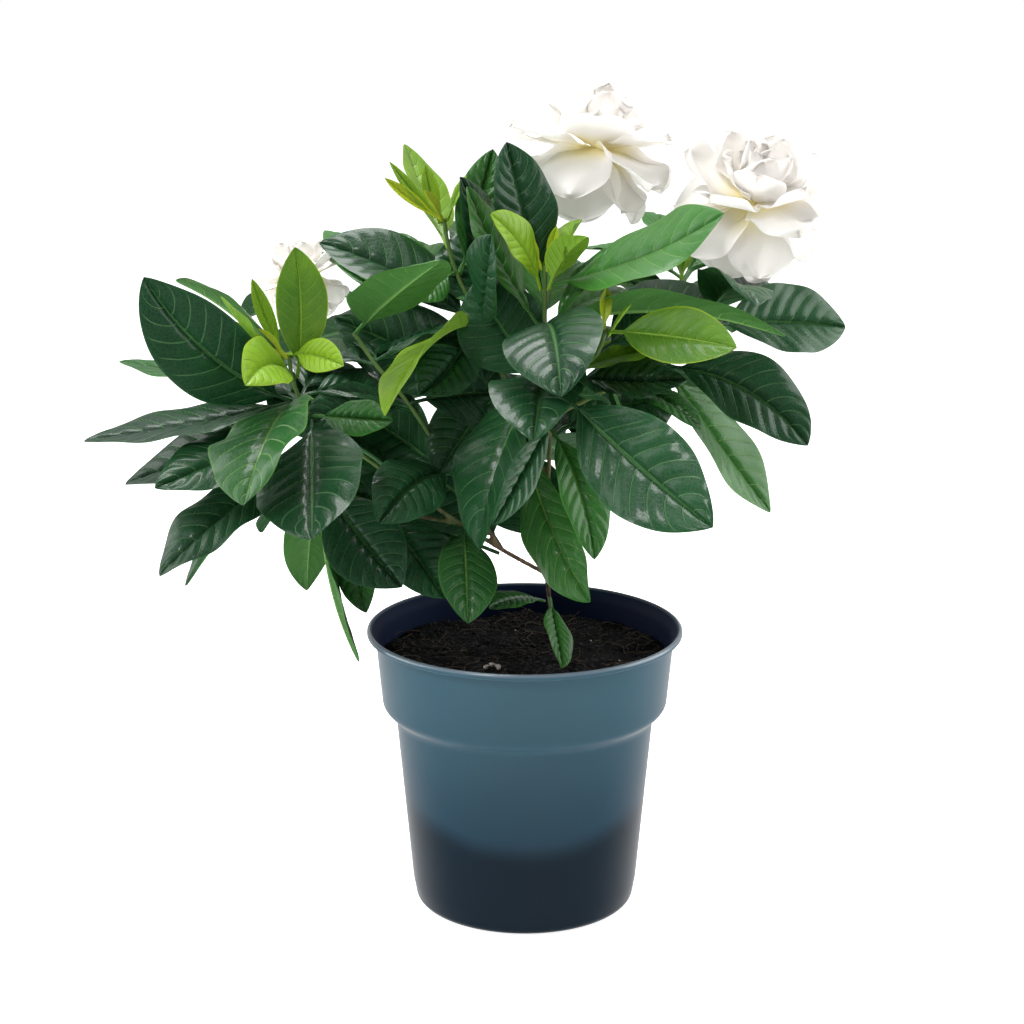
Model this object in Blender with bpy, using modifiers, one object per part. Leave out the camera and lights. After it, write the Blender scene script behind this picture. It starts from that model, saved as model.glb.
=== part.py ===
"""Potted gardenia: a plastic nursery pot, potting mix, one woody stem, leaves and three flowers.

Metres, +Z up. The origin is the centre of the pot's flat base, and the plant's best side faces -Y.
Tables of places are in millimetres and degrees, and are scaled by MM where they are used.
"""

import math

import bmesh
import bpy
from mathutils import Vector

MM = 0.001

# ---------------------------------------------------------------- driving dimensions

POT_HEIGHT = 0.118
RIM_RADIUS = 0.065
RIM_WIDTH = 0.0020
RIM_DEPTH = 0.0026
COLLAR_TOP_RADIUS = 0.0615
COLLAR_FOOT_RADIUS = 0.0590
COLLAR_FOOT_HEIGHT = 0.0905
STEP_HEIGHT = 0.0825
WALL_TOP_RADIUS = 0.0535
WALL_FOOT_RADIUS = 0.0468
FOOT_HEIGHT = 0.010
BASE_RADIUS = 0.0437
WALL = 0.0014
FLOOR = 0.0022
SHOULDER_RADIUS = 0.005
SHOULDER_DROP = 0.003
RIM_EASE = 0.0006
INNER_FOOT_RADIUS = 0.004
OUTER_FOOT_RADIUS = 0.004
FOOT_INSET = 0.002
TURN_STEPS = 36

DRAIN_HOLES = 6
DRAIN_RADIUS = 0.003
DRAIN_CIRCLE = 0.030
CUTTER_REACH = 0.002
CUTTER_SIDES = 16

MIX_LEVEL = 0.1055
MIX_CROWN = 0.0010
MIX_CROWN_RADIUS = 0.030
SOCKET_REACH = 0.010
GAP = 0.0006

LEAF_THICKNESS = 0.0010
PETAL_THICKNESS = 0.0012
LEAF_CLEARANCE = 0.0010
STALK_SHARE = 0.10
STALK_HALF_WIDTH = 0.0008
LEAF_ROWS = 6
LEAF_COLUMNS = 4
LEAF_FOLD = 12

# ---------------------------------------------------------------- shoots
# name: (radius at the root, radius at the end, points from root to end)

SHOOTS = {
    "centre": (4.4, 1.5, [
        (13, 8, 66), (13, 8, 88), (12, 7, 110), (10, 3, 130), (8, -1, 152), (9, -5, 174),
        (10, -4, 200), (9, -2, 222), (8, 0, 244), (8, 0, 260), (8, 0, 268)]),
    "left": (3.2, 1.4, [
        (9, 1, 140), (-10, -3, 152), (-40, -10, 174), (-70, -16, 198),
        (-84, -19, 210), (-89, -20, 218), (-92, -20, 228), (-93, -20, 236)]),
    "low_left": (2.2, 1.2, [
        (-25, -7, 163), (-58, -12, 172), (-80, -14, 182), (-92, -15, 190)]),
    "mid_left": (2.2, 1.2, [
        (-10, -3, 152), (-30, -4, 185), (-46, -6, 212), (-60, -8, 230), (-68, -8, 242)]),
    "upper_left": (2.2, 1.2, [
        (9, -5, 180), (2, -3, 198), (-7, 5, 217), (-18, 14, 242),
        (-28, 20, 262), (-31, 21, 272), (-33, 22, 284)]),
    "front": (2.2, 1.2, [
        (10, -4, 200), (9, -20, 208), (12, -32, 216), (14, -36, 224)]),
    "right": (2.2, 1.2, [
        (9, -2, 214), (18, -12, 226), (28, -20, 236), (32, -21, 246)]),
    "far_right": (2.2, 1.4, [
        (9, -3, 206), (35, 2, 218), (55, 5, 228), (75, 12, 243), (81, 17, 253)]),
    "back": (2.2, 1.2, [
        (8, -1, 155), (2, 30, 190), (4, 60, 222), (6, 74, 240)]),
    "back_left": (2.2, 1.2, [
        (3, 25, 185), (-30, 50, 215), (-55, 62, 232), (-66, 66, 244)]),
    "back_right": (2.2, 1.2, [
        (4, 45, 205), (35, 60, 225), (58, 66, 240), (68, 68, 250)]),
    "top_flower": (1.4, 2.2, [
        (8, 0, 250), (14, 24, 266), (23, 44, 282), (27, 50, 290), (28, 48, 298)]),
    "right_flower": (1.4, 2.2, [
        (75, 12, 243), (84, 30, 256), (91, 44, 272), (93, 40, 280)]),
    "left_flower": (1.4, 1.8, [
        (-70, -16, 198), (-78, 10, 222), (-88, 36, 240), (-92, 44, 248)]),
}

# ---------------------------------------------------------------- leaves
# name, shoot, point on the shoot, azimuth, pitch, length, width, droop, roll, tone

LEAVES = [
    ("leaf_left_01", "left", 5, 209, 23, 83, 34, -38, -104, "dark"),
    ("leaf_left_02", "left", 5, 185, -15, 84, 32, -10, -10, "dark"),
    ("leaf_left_03", "left", 4, 170, -20, 82, 34, 0, -30, "dark"),
    ("leaf_left_04", "left", 4, 210, -15, 68, 31, 0, -20, "dark"),
    ("leaf_left_05", "left", 5, 256, 4, 72, 45, 53, 24, "mid"),
    ("leaf_left_06", "left", 4, 274, -20, 75, 45, 7, 22, "dark"),
    ("leaf_left_07", "low_left", 3, 215, -20, 70, 32, 20, -15, "dark"),
    ("leaf_left_08", "low_left", 3, 160, -35, 74, 32, 25, -15, "dark"),
    ("leaf_left_09", "low_left", 2, 120, -50, 52, 22, 40, 10, "mid"),
    ("leaf_left_10", "low_left", 2, 315, -40, 56, 32, -10, 50, "dark"),
    ("leaf_left_11", "low_left", 1, 324, -35, 45, 28, 17, 27, "dark"),
    ("leaf_left_12", "low_left", 2, 320, -93, 73, 18, -37, -40, "mid"),
    ("leaf_left_13", "left", 6, 150, 100, 50, 21, 20, -40, "young"),
    ("leaf_left_14", "left", 6, 185, 50, 40, 18, -5, 10, "young"),
    ("leaf_left_15", "left", 6, 250, 40, 42, 22, 70, -50, "young"),
    ("leaf_left_16", "left", 5, 150, 60, 75, 30, 50, 35, "mid"),
    ("leaf_left_17", "left", 5, 150, 5, 88, 24, 0, 0, "mid"),
    ("leaf_middle_01", "mid_left", 4, 315, 42, 59, 42, 14, -10, "mid"),
    ("leaf_middle_02", "mid_left", 3, 30, 25, 44, 26, 20, -10, "dark"),
    ("leaf_middle_03", "mid_left", 1, 240, 15, 54, 28, 50, -35, "dark"),
    ("leaf_middle_04", "upper_left", 3, 234, -50, 44, 24, -37, -32, "dark"),
    ("leaf_upper_01", "upper_left", 5, 115, 35, 58, 24, -10, 25, "young"),
    ("leaf_upper_02", "upper_left", 4, 150, 10, 61, 28, 15, -25, "mid"),
    ("leaf_upper_03", "upper_left", 4, 50, 65, 51, 20, -5, 50, "mid"),
    ("leaf_upper_04", "upper_left", 3, 190, 95, 60, 28, 30, -40, "dark"),
    ("leaf_upper_05", "upper_left", 3, 277, 39, 55, 28, -18, 108, "dark"),
    ("leaf_upper_06", "upper_left", 3, 240, 10, 77, 30, 60, 35, "young"),
    ("leaf_top_01", "centre", 9, 140, 75, 58, 27, 5, -20, "dark"),
    ("leaf_top_02", "centre", 9, 29, 74, 29, 32, 26, -9, "young"),
    ("leaf_top_03", "centre", 9, 210, 73, 38, 20, 39, -55, "young"),
    ("leaf_top_04", "centre", 9, 335, 15, 80, 42, -19, 27, "mid"),
    ("leaf_top_05", "centre", 8, 275, 20, 67, 40, 70, 20, "dark"),
    ("leaf_top_06", "centre", 8, 170, 55, 62, 28, -15, -10, "mid"),
    ("leaf_right_01", "right", 3, 325, 5, 57, 24, 10, 55, "young"),
    ("leaf_right_02", "right", 1, 5, 30, 40, 20, 35, 20, "young"),
    ("leaf_right_03", "centre", 8, 345, 20, 96, 36, 40, -25, "mid"),
    ("leaf_right_04", "right", 1, 355, -5, 44, 22, -10, 35, "dark"),
    ("leaf_right_05", "far_right", 3, 30, 2, 67, 32, 15, 55, "dark"),
    ("leaf_right_06", "far_right", 2, 350, 0, 68, 31, 55, 50, "dark"),
    ("leaf_right_07", "far_right", 2, 5, -55, 76, 33, -2, 34, "mid"),
    ("leaf_front_01", "front", 3, 315, -31, 86, 39, -9, 60, "dark"),
    ("leaf_front_02", "centre", 7, 234, -28, 77, 45, 55, 19, "dark"),
    ("leaf_front_03", "front", 2, 238, -40, 56, 15, -3, -73, "dark"),
    ("leaf_front_04", "centre", 7, 265, 20, 66, 38, 60, 10, "dark"),
    ("leaf_front_05", "front", 1, 304, -33, 57, 21, 48, 3, "mid"),
    ("leaf_front_06", "upper_left", 1, 301, -66, 76, 28, -38, 71, "mid"),
    ("leaf_front_07", "centre", 3, 278, -30, 38, 15, -3, -35, "mid"),
    ("leaf_front_08", "low_left", 0, 274, -20, 48, 25, 33, -20, "mid"),
    ("leaf_back_01", "back", 3, 90, 40, 74, 34, 50, 0, "mid"),
    ("leaf_back_02", "back", 2, 150, 10, 70, 32, 35, 0, "dark"),
    ("leaf_back_03", "back_left", 3, 100, 35, 76, 34, 50, 0, "mid"),
    ("leaf_back_04", "back_left", 3, 150, 10, 70, 32, 45, 10, "dark"),
    ("leaf_back_05", "back_right", 3, 60, 30, 76, 34, 50, 0, "mid"),
    ("leaf_back_06", "back", 2, 35, 10, 70, 32, 35, 0, "dark"),
]

# ---------------------------------------------------------------- flowers
# name, shoot that it ends, azimuth and pitch of the flower's axis, size against a full flower

FLOWERS = [
    ("flower_top", "top_flower", 80, 80, 1.0),
    ("flower_right", "right_flower", 285, 60, 0.95),
    ("flower_left", "left_flower", 150, 75, 0.6),
]

HEART_SEGMENTS = 20
HEART_RINGS = 10
OUTER_PETALS = 5
PETAL_PITCH = -12
PETAL_LENGTH = 36
PETAL_WIDTH = 27
PETAL_DROOP = 45
HEART_RADIUS = 20
HEART_FLATNESS = 0.68
HEART_LOBES = 5
LOBE_DEPTH = 0.14
LOBE_TWIST = 1.2
PETAL_ROOT = 0.3
PETAL_ROWS = 5
PETAL_COLUMNS = 4

# ---------------------------------------------------------------- materials
# colour, roughness, metallic

FINISHES = {
    "pot": ((0.045, 0.125, 0.190, 1.0), 0.28, 0.0),
    "mix": ((0.020, 0.014, 0.011, 1.0), 0.95, 0.0),
    "bark": ((0.180, 0.105, 0.060, 1.0), 0.80, 0.0),
    "dark": ((0.012, 0.060, 0.022, 1.0), 0.30, 0.0),
    "mid": ((0.035, 0.130, 0.030, 1.0), 0.35, 0.0),
    "young": ((0.180, 0.360, 0.035, 1.0), 0.35, 0.0),
    "petal": ((0.900, 0.880, 0.800, 1.0), 0.55, 0.0),
}


# ---------------------------------------------------------------- helpers

def clear_scene():
    """Start from an empty scene."""
    for item in list(bpy.data.objects):
        bpy.data.objects.remove(item, do_unlink=True)


def new_collection(name):
    """Add a collection to the scene."""
    group = bpy.data.collections.new(name)
    bpy.context.scene.collection.children.link(group)
    return group


def finish(item, finish_name):
    """Give the object a Principled material of its own."""
    colour, roughness, metallic = FINISHES[finish_name]
    material = bpy.data.materials.new(item.name)
    material.use_nodes = True
    shader = material.node_tree.nodes["Principled BSDF"]
    shader.inputs["Base Color"].default_value = colour
    shader.inputs["Roughness"].default_value = roughness
    shader.inputs["Metallic"].default_value = metallic
    item.data.materials.clear()
    item.data.materials.append(material)


def add_mesh_object(name, mesh, group):
    """Link a mesh as an object."""
    item = bpy.data.objects.new(name, mesh)
    group.objects.link(item)
    return item


def move_to(item, group):
    """Keep the object in one collection only."""
    for owner in list(item.users_collection):
        owner.objects.unlink(item)
    group.objects.link(item)


def evaluated_mesh(item):
    """The object's mesh with its modifiers or its bevel applied."""
    bpy.context.view_layer.update()
    depsgraph = bpy.context.evaluated_depsgraph_get()
    return bpy.data.meshes.new_from_object(item.evaluated_get(depsgraph))


def weld_caps(mesh):
    """Weld the loose caps of a tube made from a curve."""
    shape = bmesh.new()
    shape.from_mesh(mesh)
    bmesh.ops.remove_doubles(shape, verts=shape.verts, dist=0.00001)
    shape.to_mesh(mesh)
    shape.free()


def turned_object(name, profile, group):
    """Spin an open profile of (radius, height) pairs about Z."""
    mesh = bpy.data.meshes.new(name)
    points = [(radius, 0.0, height) for radius, height in profile]
    edges = [(index, index + 1) for index in range(len(points) - 1)]
    mesh.from_pydata(points, edges, [])
    item = add_mesh_object(name, mesh, group)
    screw = item.modifiers.new("turn", "SCREW")
    screw.axis = "Z"
    screw.steps = TURN_STEPS
    screw.render_steps = TURN_STEPS
    screw.use_merge_vertices = True
    screw.merge_threshold = 0.00005
    screw.use_smooth_shade = True
    return item


def cylinder_cutter(name, centre, radius, low, high, group):
    """An upright cylinder that only cuts."""
    middle = (centre[0], centre[1], (low + high) / 2)
    bpy.ops.mesh.primitive_cylinder_add(
        vertices=CUTTER_SIDES, radius=radius, depth=high - low, location=middle)
    cutter = bpy.context.active_object
    cutter.name = name
    cutter.display_type = "WIRE"
    cutter.hide_render = True
    move_to(cutter, group)
    return cutter


def boolean(item, other, operation):
    """Add an exact Boolean modifier."""
    modifier = item.modifiers.new(operation.lower(), "BOOLEAN")
    modifier.operation = operation
    modifier.solver = "EXACT"
    modifier.object = other


def apply_modifiers(item):
    """Replace the object's mesh by its evaluated one."""
    mesh = evaluated_mesh(item)
    item.modifiers.clear()
    item.data = mesh


# ---------------------------------------------------------------- pot and mix

def arc(centre, radius, start, end, steps):
    """Points on an arc, angles in degrees."""
    angles = [math.radians(start + (end - start) * step / steps) for step in range(steps + 1)]
    return [(centre[0] + radius * math.cos(a), centre[1] + radius * math.sin(a)) for a in angles]


def pot_inner_profile():
    """The pot's inside from the floor's centre up to the rim."""
    foot_centre = (BASE_RADIUS - WALL - FOOT_INSET, FLOOR + INNER_FOOT_RADIUS)
    foot_curve = arc(foot_centre, INNER_FOOT_RADIUS, -90, 0, 2)
    return [(0.0, FLOOR)] + foot_curve + [
        (WALL_FOOT_RADIUS - WALL, FOOT_HEIGHT),
        (WALL_TOP_RADIUS - WALL, STEP_HEIGHT + WALL),
        (COLLAR_FOOT_RADIUS - WALL - RIM_EASE, STEP_HEIGHT + SHOULDER_DROP + RIM_EASE),
        (COLLAR_FOOT_RADIUS - WALL, COLLAR_FOOT_HEIGHT),
        (COLLAR_TOP_RADIUS - WALL, POT_HEIGHT - RIM_DEPTH),
    ]


def build_pot(group, cutters):
    """One moulded shell: floor, tapered wall, stepped collar and rolled rim."""
    rim_middle = (RIM_RADIUS - RIM_WIDTH / 2, POT_HEIGHT - RIM_WIDTH / 2)
    rim_curve = arc(rim_middle, RIM_WIDTH / 2, 180, 0, 4)
    outer = [
        (RIM_RADIUS, POT_HEIGHT - RIM_DEPTH + RIM_EASE),
        (RIM_RADIUS - RIM_EASE, POT_HEIGHT - RIM_DEPTH),
        (COLLAR_TOP_RADIUS, POT_HEIGHT - RIM_DEPTH - RIM_EASE),
        (COLLAR_FOOT_RADIUS, COLLAR_FOOT_HEIGHT),
    ]
    shoulder_centre = (COLLAR_FOOT_RADIUS - SHOULDER_RADIUS, COLLAR_FOOT_HEIGHT - SHOULDER_DROP)
    shoulder = arc(shoulder_centre, SHOULDER_RADIUS, 0, -90, 3)
    side = [(WALL_TOP_RADIUS - WALL / 2, STEP_HEIGHT), (WALL_FOOT_RADIUS, FOOT_HEIGHT)]
    base = arc((BASE_RADIUS - FOOT_INSET, OUTER_FOOT_RADIUS), OUTER_FOOT_RADIUS, -20, -90, 3)
    profile = pot_inner_profile() + rim_curve + outer + shoulder + side + base + [(0.0, 0.0)]
    pot = turned_object("pot", profile, group)
    for index in range(DRAIN_HOLES):
        angle = 2 * math.pi * index / DRAIN_HOLES
        centre = (DRAIN_CIRCLE * math.cos(angle), DRAIN_CIRCLE * math.sin(angle))
        cutter = cylinder_cutter(
            f"drain_{index + 1}", centre, DRAIN_RADIUS, -CUTTER_REACH, FLOOR + CUTTER_REACH, cutters)
        boolean(pot, cutter, "DIFFERENCE")
    finish(pot, "pot")


def build_mix(group, cutters):
    """The settled mix and root ball, a gap inside the pot, with a socket for the trunk."""
    profile = [(0.0, MIX_LEVEL + MIX_CROWN), (MIX_CROWN_RADIUS, MIX_LEVEL + MIX_CROWN * 0.6)]
    inside = [(radius - GAP, height) for radius, height in reversed(pot_inner_profile()[1:])]
    collar_height = POT_HEIGHT - RIM_DEPTH - COLLAR_FOOT_HEIGHT
    share = (MIX_LEVEL - COLLAR_FOOT_HEIGHT) / collar_height
    top_radius = COLLAR_FOOT_RADIUS + (COLLAR_TOP_RADIUS - COLLAR_FOOT_RADIUS) * share - WALL - GAP
    profile.append((top_radius, MIX_LEVEL))
    profile += [(radius, max(z, FLOOR + GAP)) for radius, z in inside if z < MIX_LEVEL]
    profile.append((0.0, FLOOR + GAP))
    mix = turned_object("potting_mix", profile, group)
    root_radius, _, points = SHOOTS["centre"]
    foot = points[0]
    socket = cylinder_cutter(
        "trunk_socket", (foot[0] * MM, foot[1] * MM), root_radius * MM + 1.5 * GAP,
        foot[2] * MM - GAP, MIX_LEVEL + SOCKET_REACH, cutters)
    boolean(mix, socket, "DIFFERENCE")
    finish(mix, "mix")


# ---------------------------------------------------------------- stem

def shoot_tube(name, group):
    """One shoot as a tapered tube through its own points."""
    root_radius, end_radius, points = SHOOTS[name]
    curve = bpy.data.curves.new(name, "CURVE")
    curve.dimensions = "3D"
    curve.bevel_depth = MM
    curve.bevel_resolution = 1
    curve.use_fill_caps = True
    curve.resolution_u = 2
    spline = curve.splines.new("BEZIER")
    spline.bezier_points.add(len(points) - 1)
    for index, place in enumerate(points):
        node = spline.bezier_points[index]
        node.co = Vector(place) * MM
        node.handle_left_type = "AUTO"
        node.handle_right_type = "AUTO"
        node.radius = root_radius + (end_radius - root_radius) * index / (len(points) - 1)
    tube = bpy.data.objects.new(name, curve)
    group.objects.link(tube)
    mesh = evaluated_mesh(tube)
    weld_caps(mesh)
    bpy.data.objects.remove(tube, do_unlink=True)
    return mesh


def build_stem(group, cutters):
    """Trunk and branches, grown as one piece: every tube is united with the trunk."""
    stem = add_mesh_object("stem", shoot_tube("centre", group), group)
    for name in SHOOTS:
        if name == "centre":
            continue
        branch = add_mesh_object(f"branch_{name}", shoot_tube(name, group), cutters)
        boolean(stem, branch, "UNION")
        apply_modifiers(stem)
        bpy.data.objects.remove(branch, do_unlink=True)
    stem.data.shade_smooth()
    finish(stem, "bark")


# ---------------------------------------------------------------- blades

def shoot_axis(points, index):
    """The shoot's direction at one of its points."""
    ahead = Vector(points[min(index + 1, len(points) - 1)])
    behind = Vector(points[max(index - 1, 0)])
    return (ahead - behind).normalized()


def heading(azimuth, pitch):
    """A unit vector from a compass angle and a pitch, in radians."""
    level = math.cos(pitch)
    return Vector((level * math.cos(azimuth), level * math.sin(azimuth), math.sin(pitch)))


def leaf_seat(shoot, index, azimuth, pitch):
    """Where a leaf stalk meets the bark: square to the shoot, just clear of it."""
    root_radius, end_radius, points = SHOOTS[shoot]
    axis = shoot_axis(points, index)
    direction = heading(azimuth, pitch)
    outward = (direction - axis * direction.dot(axis)).normalized()
    radius = root_radius + (end_radius - root_radius) * index / (len(points) - 1)
    return Vector(points[index]) * MM + outward * (radius * MM + LEAF_CLEARANCE)


def outline(along, width):
    """Half the blade's width at a share of its length: a stalk, a broad middle and a pointed tip."""
    blade_share = max(along - STALK_SHARE, 0.0) / (1.0 - STALK_SHARE)
    full = (4.0 * blade_share * (1.0 - blade_share)) ** 0.85
    return max(0.5 * width * full, STALK_HALF_WIDTH)


def bent_blade(name, seat, azimuth, pitch, length, width, droop, roll, rows, columns, thickness, group):
    """A sheet that leaves its seat at the given heading and bends down evenly along its length."""
    shape = bmesh.new()
    bmesh.ops.create_grid(shape, x_segments=rows, y_segments=columns, size=1.0)
    along_steps = sorted({round((vertex.co.x + 1) / 2, 6) for vertex in shape.verts})
    middle = {}
    place = Vector(seat)
    previous = along_steps[0]
    for along in along_steps:
        halfway = (previous + along) / 2
        place = place + heading(azimuth, pitch - droop * halfway) * length * (along - previous)
        middle[along] = place.copy()
        previous = along
    rise = math.tan(math.radians(LEAF_FOLD))
    for vertex in shape.verts:
        along = round((vertex.co.x + 1) / 2, 6)
        across = vertex.co.y
        tilt = pitch - droop * along
        forward = heading(azimuth, tilt)
        upward = heading(azimuth, tilt + math.pi / 2)
        sideways = forward.cross(upward)
        face = upward * math.cos(roll) + sideways * math.sin(roll)
        right = forward.cross(face)
        half = outline(along, width)
        vertex.co = middle[along] - right * (half * across) + face * (half * abs(across) * rise)
    bmesh.ops.recalc_face_normals(shape, faces=shape.faces)
    mesh = bpy.data.meshes.new(name)
    shape.to_mesh(mesh)
    shape.free()
    mesh.shade_smooth()
    blade = add_mesh_object(name, mesh, group)
    solidify = blade.modifiers.new("thickness", "SOLIDIFY")
    solidify.thickness = thickness
    solidify.offset = 0.0
    return blade


def build_leaves(group):
    """One object for each leaf of the table."""
    for name, shoot, index, azimuth, pitch, length, width, droop, roll, tone in LEAVES:
        azimuth, pitch, droop, roll = (math.radians(value) for value in (azimuth, pitch, droop, roll))
        seat = leaf_seat(shoot, index, azimuth, pitch)
        leaf = bent_blade(
            name, seat, azimuth, pitch, length * MM, width * MM, droop, roll,
            LEAF_ROWS, LEAF_COLUMNS, LEAF_THICKNESS, group)
        finish(leaf, tone)


# ---------------------------------------------------------------- flowers

def rosette(name, size, group):
    """The packed inner petals as one lobed, flattened ball whose lobes turn with height."""
    bpy.ops.mesh.primitive_uv_sphere_add(segments=HEART_SEGMENTS, ring_count=HEART_RINGS, radius=1.0)
    heart = bpy.context.active_object
    heart.name = name
    for vertex in heart.data.vertices:
        angle = math.atan2(vertex.co.y, vertex.co.x)
        lobes = 1.0 + LOBE_DEPTH * math.cos(HEART_LOBES * angle + LOBE_TWIST * vertex.co.z)
        vertex.co.x *= lobes
        vertex.co.y *= lobes
        vertex.co.z *= HEART_FLATNESS
        vertex.co *= HEART_RADIUS * MM * size
    move_to(heart, group)
    return heart


def outer_petal(index, size, group):
    """One spreading petal of a flower that faces +Z, rooted inside the rosette."""
    angle = 2 * math.pi * (index + 0.5) / OUTER_PETALS
    root = Vector((math.cos(angle), math.sin(angle), 0.0)) * HEART_RADIUS * MM * size * PETAL_ROOT
    return bent_blade(
        f"petal_{index + 1}", root, angle, math.radians(PETAL_PITCH), PETAL_LENGTH * MM * size,
        PETAL_WIDTH * MM * size, math.radians(PETAL_DROOP), 0.0,
        PETAL_ROWS, PETAL_COLUMNS, PETAL_THICKNESS, group)


def build_flower(name, shoot, azimuth, pitch, size, group, cutters):
    """A fused corolla on the end of its shoot: rosette and spreading outer petals in one body."""
    flower = rosette(name, size, group)
    for index in range(OUTER_PETALS):
        petal = outer_petal(index, size, cutters)
        boolean(flower, petal, "UNION")
        apply_modifiers(flower)
        bpy.data.objects.remove(petal, do_unlink=True)
    direction = heading(math.radians(azimuth), math.radians(pitch))
    shoot_end = Vector(SHOOTS[shoot][2][-1]) * MM
    flower.location = shoot_end + direction * (HEART_RADIUS * HEART_FLATNESS * MM * size + 3 * GAP)
    flower.rotation_mode = "QUATERNION"
    flower.rotation_quaternion = direction.to_track_quat("Z", "Y")
    flower.data.shade_smooth()
    finish(flower, "petal")


# ---------------------------------------------------------------- assembly

def main():
    """Build every piece."""
    clear_scene()
    group = new_collection("potted_gardenia")
    cutters = new_collection("cutters")
    build_pot(group, cutters)
    build_mix(group, cutters)
    build_stem(group, cutters)
    build_leaves(group)
    for flower in FLOWERS:
        build_flower(*flower, group, cutters)


main()
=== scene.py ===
# %% [markdown]
# # A potted gardenia
#
# This lesson dresses the measured part of a young gardenia: a nursery pot, potting mix, one woody
# stem, nearly a hundred and fifty leaves and three double flowers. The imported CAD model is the
# frame. It says where everything is, and each finer piece stands for the solid that it replaces.

import math
import random

import bmesh
import bpy
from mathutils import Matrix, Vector, kdtree
from mathutils import noise as smooth_noise


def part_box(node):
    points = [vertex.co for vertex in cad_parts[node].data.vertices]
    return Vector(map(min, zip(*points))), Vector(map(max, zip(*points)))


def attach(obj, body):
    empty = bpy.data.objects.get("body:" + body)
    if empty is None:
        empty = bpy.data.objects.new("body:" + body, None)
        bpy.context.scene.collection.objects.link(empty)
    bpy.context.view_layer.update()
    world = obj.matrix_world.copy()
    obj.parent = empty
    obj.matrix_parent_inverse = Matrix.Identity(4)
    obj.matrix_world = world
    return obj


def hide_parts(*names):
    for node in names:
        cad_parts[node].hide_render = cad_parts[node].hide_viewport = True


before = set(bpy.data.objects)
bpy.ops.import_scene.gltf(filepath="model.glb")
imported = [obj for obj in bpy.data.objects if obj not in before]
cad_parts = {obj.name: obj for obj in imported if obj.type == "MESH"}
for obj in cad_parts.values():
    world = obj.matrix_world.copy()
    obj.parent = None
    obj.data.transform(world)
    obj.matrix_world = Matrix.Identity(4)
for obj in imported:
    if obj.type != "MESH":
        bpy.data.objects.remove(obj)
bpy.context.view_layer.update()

# %% [markdown]
# ## Camera
#
# The camera stands a metre from the pot's axis, higher than the plant's top, and looks down. A
# long lens from that distance keeps the pot's sides nearly straight, as a product shot does.

# %% Camera
MM = 0.001
CAMERA_PLACE = (0.0, -1.0, 0.4268)
CAMERA_TILT = 75.415
CAMERA_TURN = 0.3
LENS = 89.16

scene = bpy.context.scene
camera_data = bpy.data.cameras.new("camera")
camera_data.lens = LENS
camera_data.sensor_width = 36.0
camera = bpy.data.objects.new("camera", camera_data)
camera.location = CAMERA_PLACE
camera.rotation_euler = (math.radians(CAMERA_TILT), 0.0, math.radians(CAMERA_TURN))
scene.collection.objects.link(camera)
scene.camera = camera
scene.view_settings.view_transform = "Standard"
print("camera at", CAMERA_PLACE, "lens", LENS, "mm")

# %% [markdown]
# ## Floor and light
#
# Glossy leaves and a glossy pot show whatever is around them, so the light is mostly large and
# soft: one panel overhead, a small window in front, and two tall panels a little behind the plant.
# Those two put the bright edges on the pot. The sky looks white, but it lights the plant less from
# the front and from below, so that the inside of the crown stays dark and the foot of the pot too.

# %% Floor and light
SKY_SEEN = 1.0
SKY_DIM = 0.12
SKY_BACK = 0.38
SKY_TOP = 0.20
FLOOR_GLOW = 0.85
PANELS = [
    # name, place, size, watts
    ("overhead", (-0.15, 0.25, 1.30), (0.8, 0.6), 14.0),
    ("left_panel", (-1.15, 0.15, 0.45), (1.1, 1.3), 12.5),
    ("right_panel", (1.15, 0.15, 0.45), (1.1, 1.3), 14.0),
    ("window", (-0.75, -1.10, 1.35), (0.45, 0.45), 11.0),
]
AIM = Vector((0.0, 0.0, 0.18))

world = bpy.data.worlds.new("studio")
scene.world = world
world.use_nodes = True
sky = world.node_tree.nodes["Background"]
sky.inputs["Color"].default_value = (1.0, 1.0, 1.0, 1.0)


def sky_step(vector, part, low, high, amount):
    """A share of the sky's light that grows along one axis."""
    split = world.node_tree.nodes.new("ShaderNodeSeparateXYZ")
    grow = world.node_tree.nodes.new("ShaderNodeMapRange")
    grow.interpolation_type = "SMOOTHSTEP"
    for name, value in (("From Min", low), ("From Max", high), ("To Max", amount)):
        grow.inputs[name].default_value = value
    world.node_tree.links.new(vector, split.inputs[0])
    world.node_tree.links.new(split.outputs[part], grow.inputs["Value"])
    return grow.outputs["Result"]


direction = world.node_tree.nodes.new("ShaderNodeTexCoord").outputs["Generated"]
light_sum = world.node_tree.nodes.new("ShaderNodeMath")
world.node_tree.links.new(sky_step(direction, "Y", -0.2, 0.8, SKY_BACK), light_sum.inputs[0])
world.node_tree.links.new(sky_step(direction, "Z", 0.0, 0.9, SKY_TOP), light_sum.inputs[1])
path = world.node_tree.nodes.new("ShaderNodeLightPath")
level = world.node_tree.nodes.new("ShaderNodeMix")
dim = world.node_tree.nodes.new("ShaderNodeMath")
dim.inputs[1].default_value = SKY_DIM
world.node_tree.links.new(light_sum.outputs[0], dim.inputs[0])
world.node_tree.links.new(path.outputs["Is Camera Ray"], level.inputs["Factor"])
world.node_tree.links.new(dim.outputs[0], level.inputs["A"])
level.inputs["B"].default_value = SKY_SEEN
world.node_tree.links.new(level.outputs["Result"], sky.inputs["Strength"])

for name, place, size, watts in PANELS:
    light = bpy.data.lights.new(name, "AREA")
    light.shape = "RECTANGLE"
    light.size, light.size_y = size
    light.energy = watts
    panel = bpy.data.objects.new(name, light)
    panel.location = place
    panel.rotation_mode = "QUATERNION"
    panel.rotation_quaternion = (AIM - Vector(place)).to_track_quat("-Z", "Y")
    scene.collection.objects.link(panel)

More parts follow.
